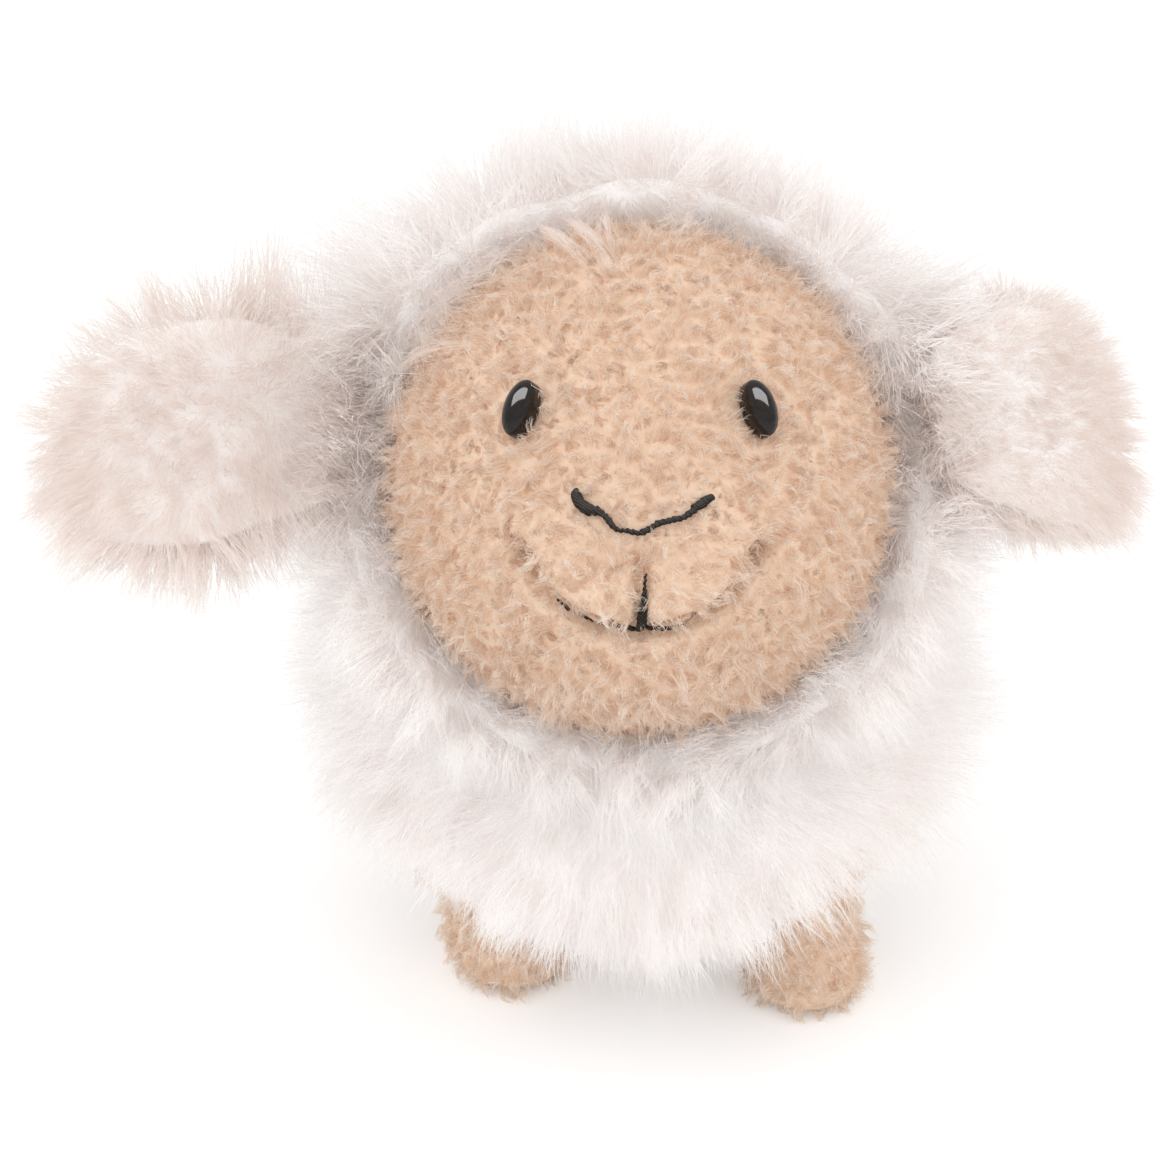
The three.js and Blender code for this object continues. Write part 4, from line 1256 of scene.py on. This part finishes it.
class PLUSH_OT_stage(bpy.types.Operator):
    """Floor, camera and soft light"""

    bl_idname = "plush.stage"
    bl_label = "Stage"

    def execute(self, context):
        scene = bpy.context.scene
        scene.view_settings.view_transform = "Standard"
        self.floor()
        self.lights()
        self.camera(scene)
        return {"FINISHED"}

    def floor(self):
        work = bmesh.new()
        bmesh.ops.create_grid(work, x_segments=2, y_segments=2, size=4.0)
        mesh = bpy.data.meshes.new("floor")
        work.to_mesh(mesh)
        work.free()
        floor = new_object("floor", mesh)
        matter, tree, shader = new_material("painted_white_floor")
        shader.inputs["Base Color"].default_value = linear("#f1f1f1")
        shader.inputs["Roughness"].default_value = 0.9
        shader.inputs["Specular IOR Level"].default_value = 0.1
        shader.inputs["Emission Color"].default_value = (1.0, 1.0, 1.0, 1.0)
        path = add_node(tree, "ShaderNodeLightPath").node
        strength = add_node(tree, MATH, "MULTIPLY", (seen_directly(tree, path), 0.18))
        tree.links.new(strength, shader.inputs["Emission Strength"])
        mesh.materials.append(matter)

    def lights(self):
        world = bpy.data.worlds.new("white_room")
        bpy.context.scene.world = world
        world.use_nodes = True
        tree = world.node_tree
        background = tree.nodes["Background"]
        background.inputs["Color"].default_value = (1.0, 1.0, 1.0, 1.0)
        path = add_node(tree, "ShaderNodeLightPath").node
        strength = add_node(tree, "ShaderNodeMapRange", None, {0: seen_directly(tree, path), 3: 0.9, 4: 1.0})
        tree.links.new(strength, background.inputs["Strength"])
        # The last lamp is only seen in glossy surfaces: the long soft box over the set
        lamps = (
            ("key", (-0.55, -0.75, 0.95), (0.8, 0.8), 3.6, False),
            ("fill", (0.9, -0.6, 0.6), (0.9, 0.9), 2.4, False),
            ("top", (0.0, 0.35, 1.2), (1.0, 1.0), 1.0, False),
            ("gloss", (0.008, -0.35, 1.15), (2.0, 0.8), 70.0, True),
        )
        for name, place, size, power, gloss in lamps:
            lamp = bpy.data.lights.new(name, "AREA")
            lamp.shape = "RECTANGLE"
            lamp.size = size[0]
            lamp.size_y = size[1]
            lamp.energy = power
            obj = new_object(name, lamp)
            obj.visible_glossy = gloss
            obj.visible_diffuse = not gloss
            obj.visible_transmission = not gloss
            obj.location = place
            sheep_middle = Vector((0.008, -0.02, 0.09))
            obj.rotation_euler = (sheep_middle - obj.location).to_track_quat("-Z", "Y").to_euler()

    def camera(self, scene):
        """A camera that looks down at the head, whose middle it sees at head_x and head_y of its picture."""
        picture = 1163.0
        focal = 2900.0
        head_x = 640.0
        head_y = 480.0
        distance = 520.0
        tilt = math.radians(30.0)
        lens = bpy.data.cameras.new("camera")
        lens.sensor_width = 36.0
        lens.lens = lens.sensor_width * focal / picture
        lens.shift_x = -(head_x - picture / 2) / picture
        lens.clip_start = 0.01
        back = Vector((0.0, -math.cos(tilt), math.sin(tilt)))
        ahead = -back
        right = ahead.cross(Vector((0.0, 0.0, 1.0))).normalized()
        up = right.cross(ahead)
        place = HEAD_MIDDLE - distance * (ahead + up * (picture / 2 - head_y) / focal)
        camera = new_object("camera", lens)
        turn = Matrix((right, up, back)).transposed()
        camera.matrix_world = Matrix.Translation(place * MM) @ turn.to_4x4()
        scene.camera = camera


MATERIALS = {}


def material(key):
    return MATERIALS[key]


def make_materials():
    colours = bpy.context.scene.plush_colours
    cream = tuple(colours.cream)
    ear = tuple(colours.ear)
    beige = tuple(colours.beige)
    black = tuple(colours.black)
    white = linear("#fefefe")
    pale = linear("#f8efe6")
    ear_tip = linear("#faf6f4")
    MATERIALS["cream"] = pile_material("brushed_polyester_long_pile", cream, white, 1.1, 0.78)
    # The ears' pile: partly its own pinker tint, partly painted shade that darkens the ears, which catch more
    # light
    MATERIALS["ear"] = pile_material("brushed_polyester_ear_pile", ear, ear_tip, 1.3, 0.72)
    # The face's pile is darkened hard at the root: painted shade in the gaps between its tufts
    MATERIALS["face"] = pile_material("curly_polyester_short_pile", beige, pale, 2.2, 0.68)
    # The legs' pile is a paler copy of the face's: partly a paler tint, partly painted light that lifts the
    # feet out of the shade under the body
    MATERIALS["leg"] = pile_material("curly_polyester_leg_pile", mixed(beige, pale, 0.6), pale, 2.0, 0.76)
    MATERIALS["eye"] = eye_material("moulded_acrylic_black", black)

    # Knitted backing under the pile: matt, with the 1 mm rows of its loops and painted shade in their
    # hollows. The beige backing under the face and legs is darkened further: painted shade deep in the pile
    for key, name, colour in (
        ("backing", "knitted_backing_cream", white),
        ("face_backing", "knitted_backing_beige", deepened(beige, 1.3)),
    ):
        stops = ((0.0, deepened(colour, 1.4)), (1.0, colour))
        loops = {"Scale": 900.0}
        MATERIALS[key] = grained_material(
            name, "ShaderNodeTexVoronoi", loops, stops, (0.95, 0.1), (0.3 * MM, 0.6),
        )

    # Moulded polypropylene: milky, with flow marks and a satin face
    milky = linear("#e9e9e6")
    stops = ((0.3, deepened(milky, 1.3)), (0.7, milky))
    flow = {"Scale": 300.0, "Detail": 2.0}
    MATERIALS["washer"] = grained_material(
        "moulded_polypropylene", "ShaderNodeTexNoise", flow, stops, (0.45, 0.5),
    )

    # Embroidery thread: black cotton with fine plies that run round it, a little lighter and browner where
    # the bump rises at their crowns
    stops = ((0.2, black), (0.9, mixed(black, linear("#5a4a3f"), 0.3)))
    plies = {"Scale": 900.0, "Distortion": 2.0, "Detail": 2.0}
    MATERIALS["thread"] = grained_material(
        "embroidery_thread_black", "ShaderNodeTexWave", plies, stops, (0.75, 0.2), (0.15 * MM, 0.6),
        {"bands_direction": "DIAGONAL"},
    )


def grow_layers(mesh, layers, body, finish, values, stops=LONG_STOPS):
    """Grows layers of pile on a skin: name, fibres per square millimetre, and shares of length and width."""
    settings = sizes()
    tree = bpy.data.node_groups.get("pile") or pile_tree()
    fibre = strand("fibre", stops)
    quick = 1.0
    for seed, (name, density, length, width) in enumerate(layers):
        given = {
            "Strand": fibre,
            "Fibre": material(finish),
            "Seed": seed + sum(map(ord, name)) % 97,
            "Density": density * settings.density * quick / (MM * MM),
            "Length share": length,
            "Width": settings.fibre_width * width,
        }
        given.update(values)
        obj = run_tree(name, mesh, tree, given)
        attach(obj, body)
    bpy.data.objects.remove(fibre)


class PLUSH_PT_panel(bpy.types.Panel):
    """Lists the pieces in the sidebar"""

    bl_label = "Plush sheep"
    bl_idname = "PLUSH_PT_panel"
    bl_space_type = "VIEW_3D"
    bl_region_type = "UI"
    bl_category = "Plush sheep"

    def draw(self, context):
        for operator in OPERATORS:
            self.layout.operator(operator.bl_idname)


OPERATORS = (
    PLUSH_OT_stage,
    PLUSH_OT_body,
    PLUSH_OT_hood,
    PLUSH_OT_face,
    PLUSH_OT_ears,
    PLUSH_OT_tail,
    PLUSH_OT_legs,
    PLUSH_OT_fringe,
    PLUSH_OT_embroidery,
    PLUSH_OT_eyes,
)
CLASSES = (PlushSizes, PlushColours, *OPERATORS, PLUSH_PT_panel)


def register():
    for one in CLASSES:
        bpy.utils.register_class(one)
    bpy.types.Scene.plush_sizes = bpy.props.PointerProperty(type=PlushSizes)
    bpy.types.Scene.plush_colours = bpy.props.PointerProperty(type=PlushColours)


def unregister():
    del bpy.types.Scene.plush_colours
    del bpy.types.Scene.plush_sizes
    for one in reversed(CLASSES):
        bpy.utils.unregister_class(one)


def main():
    register()
    make_materials()
    for operator in OPERATORS:
        group, name = operator.bl_idname.split(".")
        getattr(getattr(bpy.ops, group), name)()


if __name__ == "__main__":
    main()
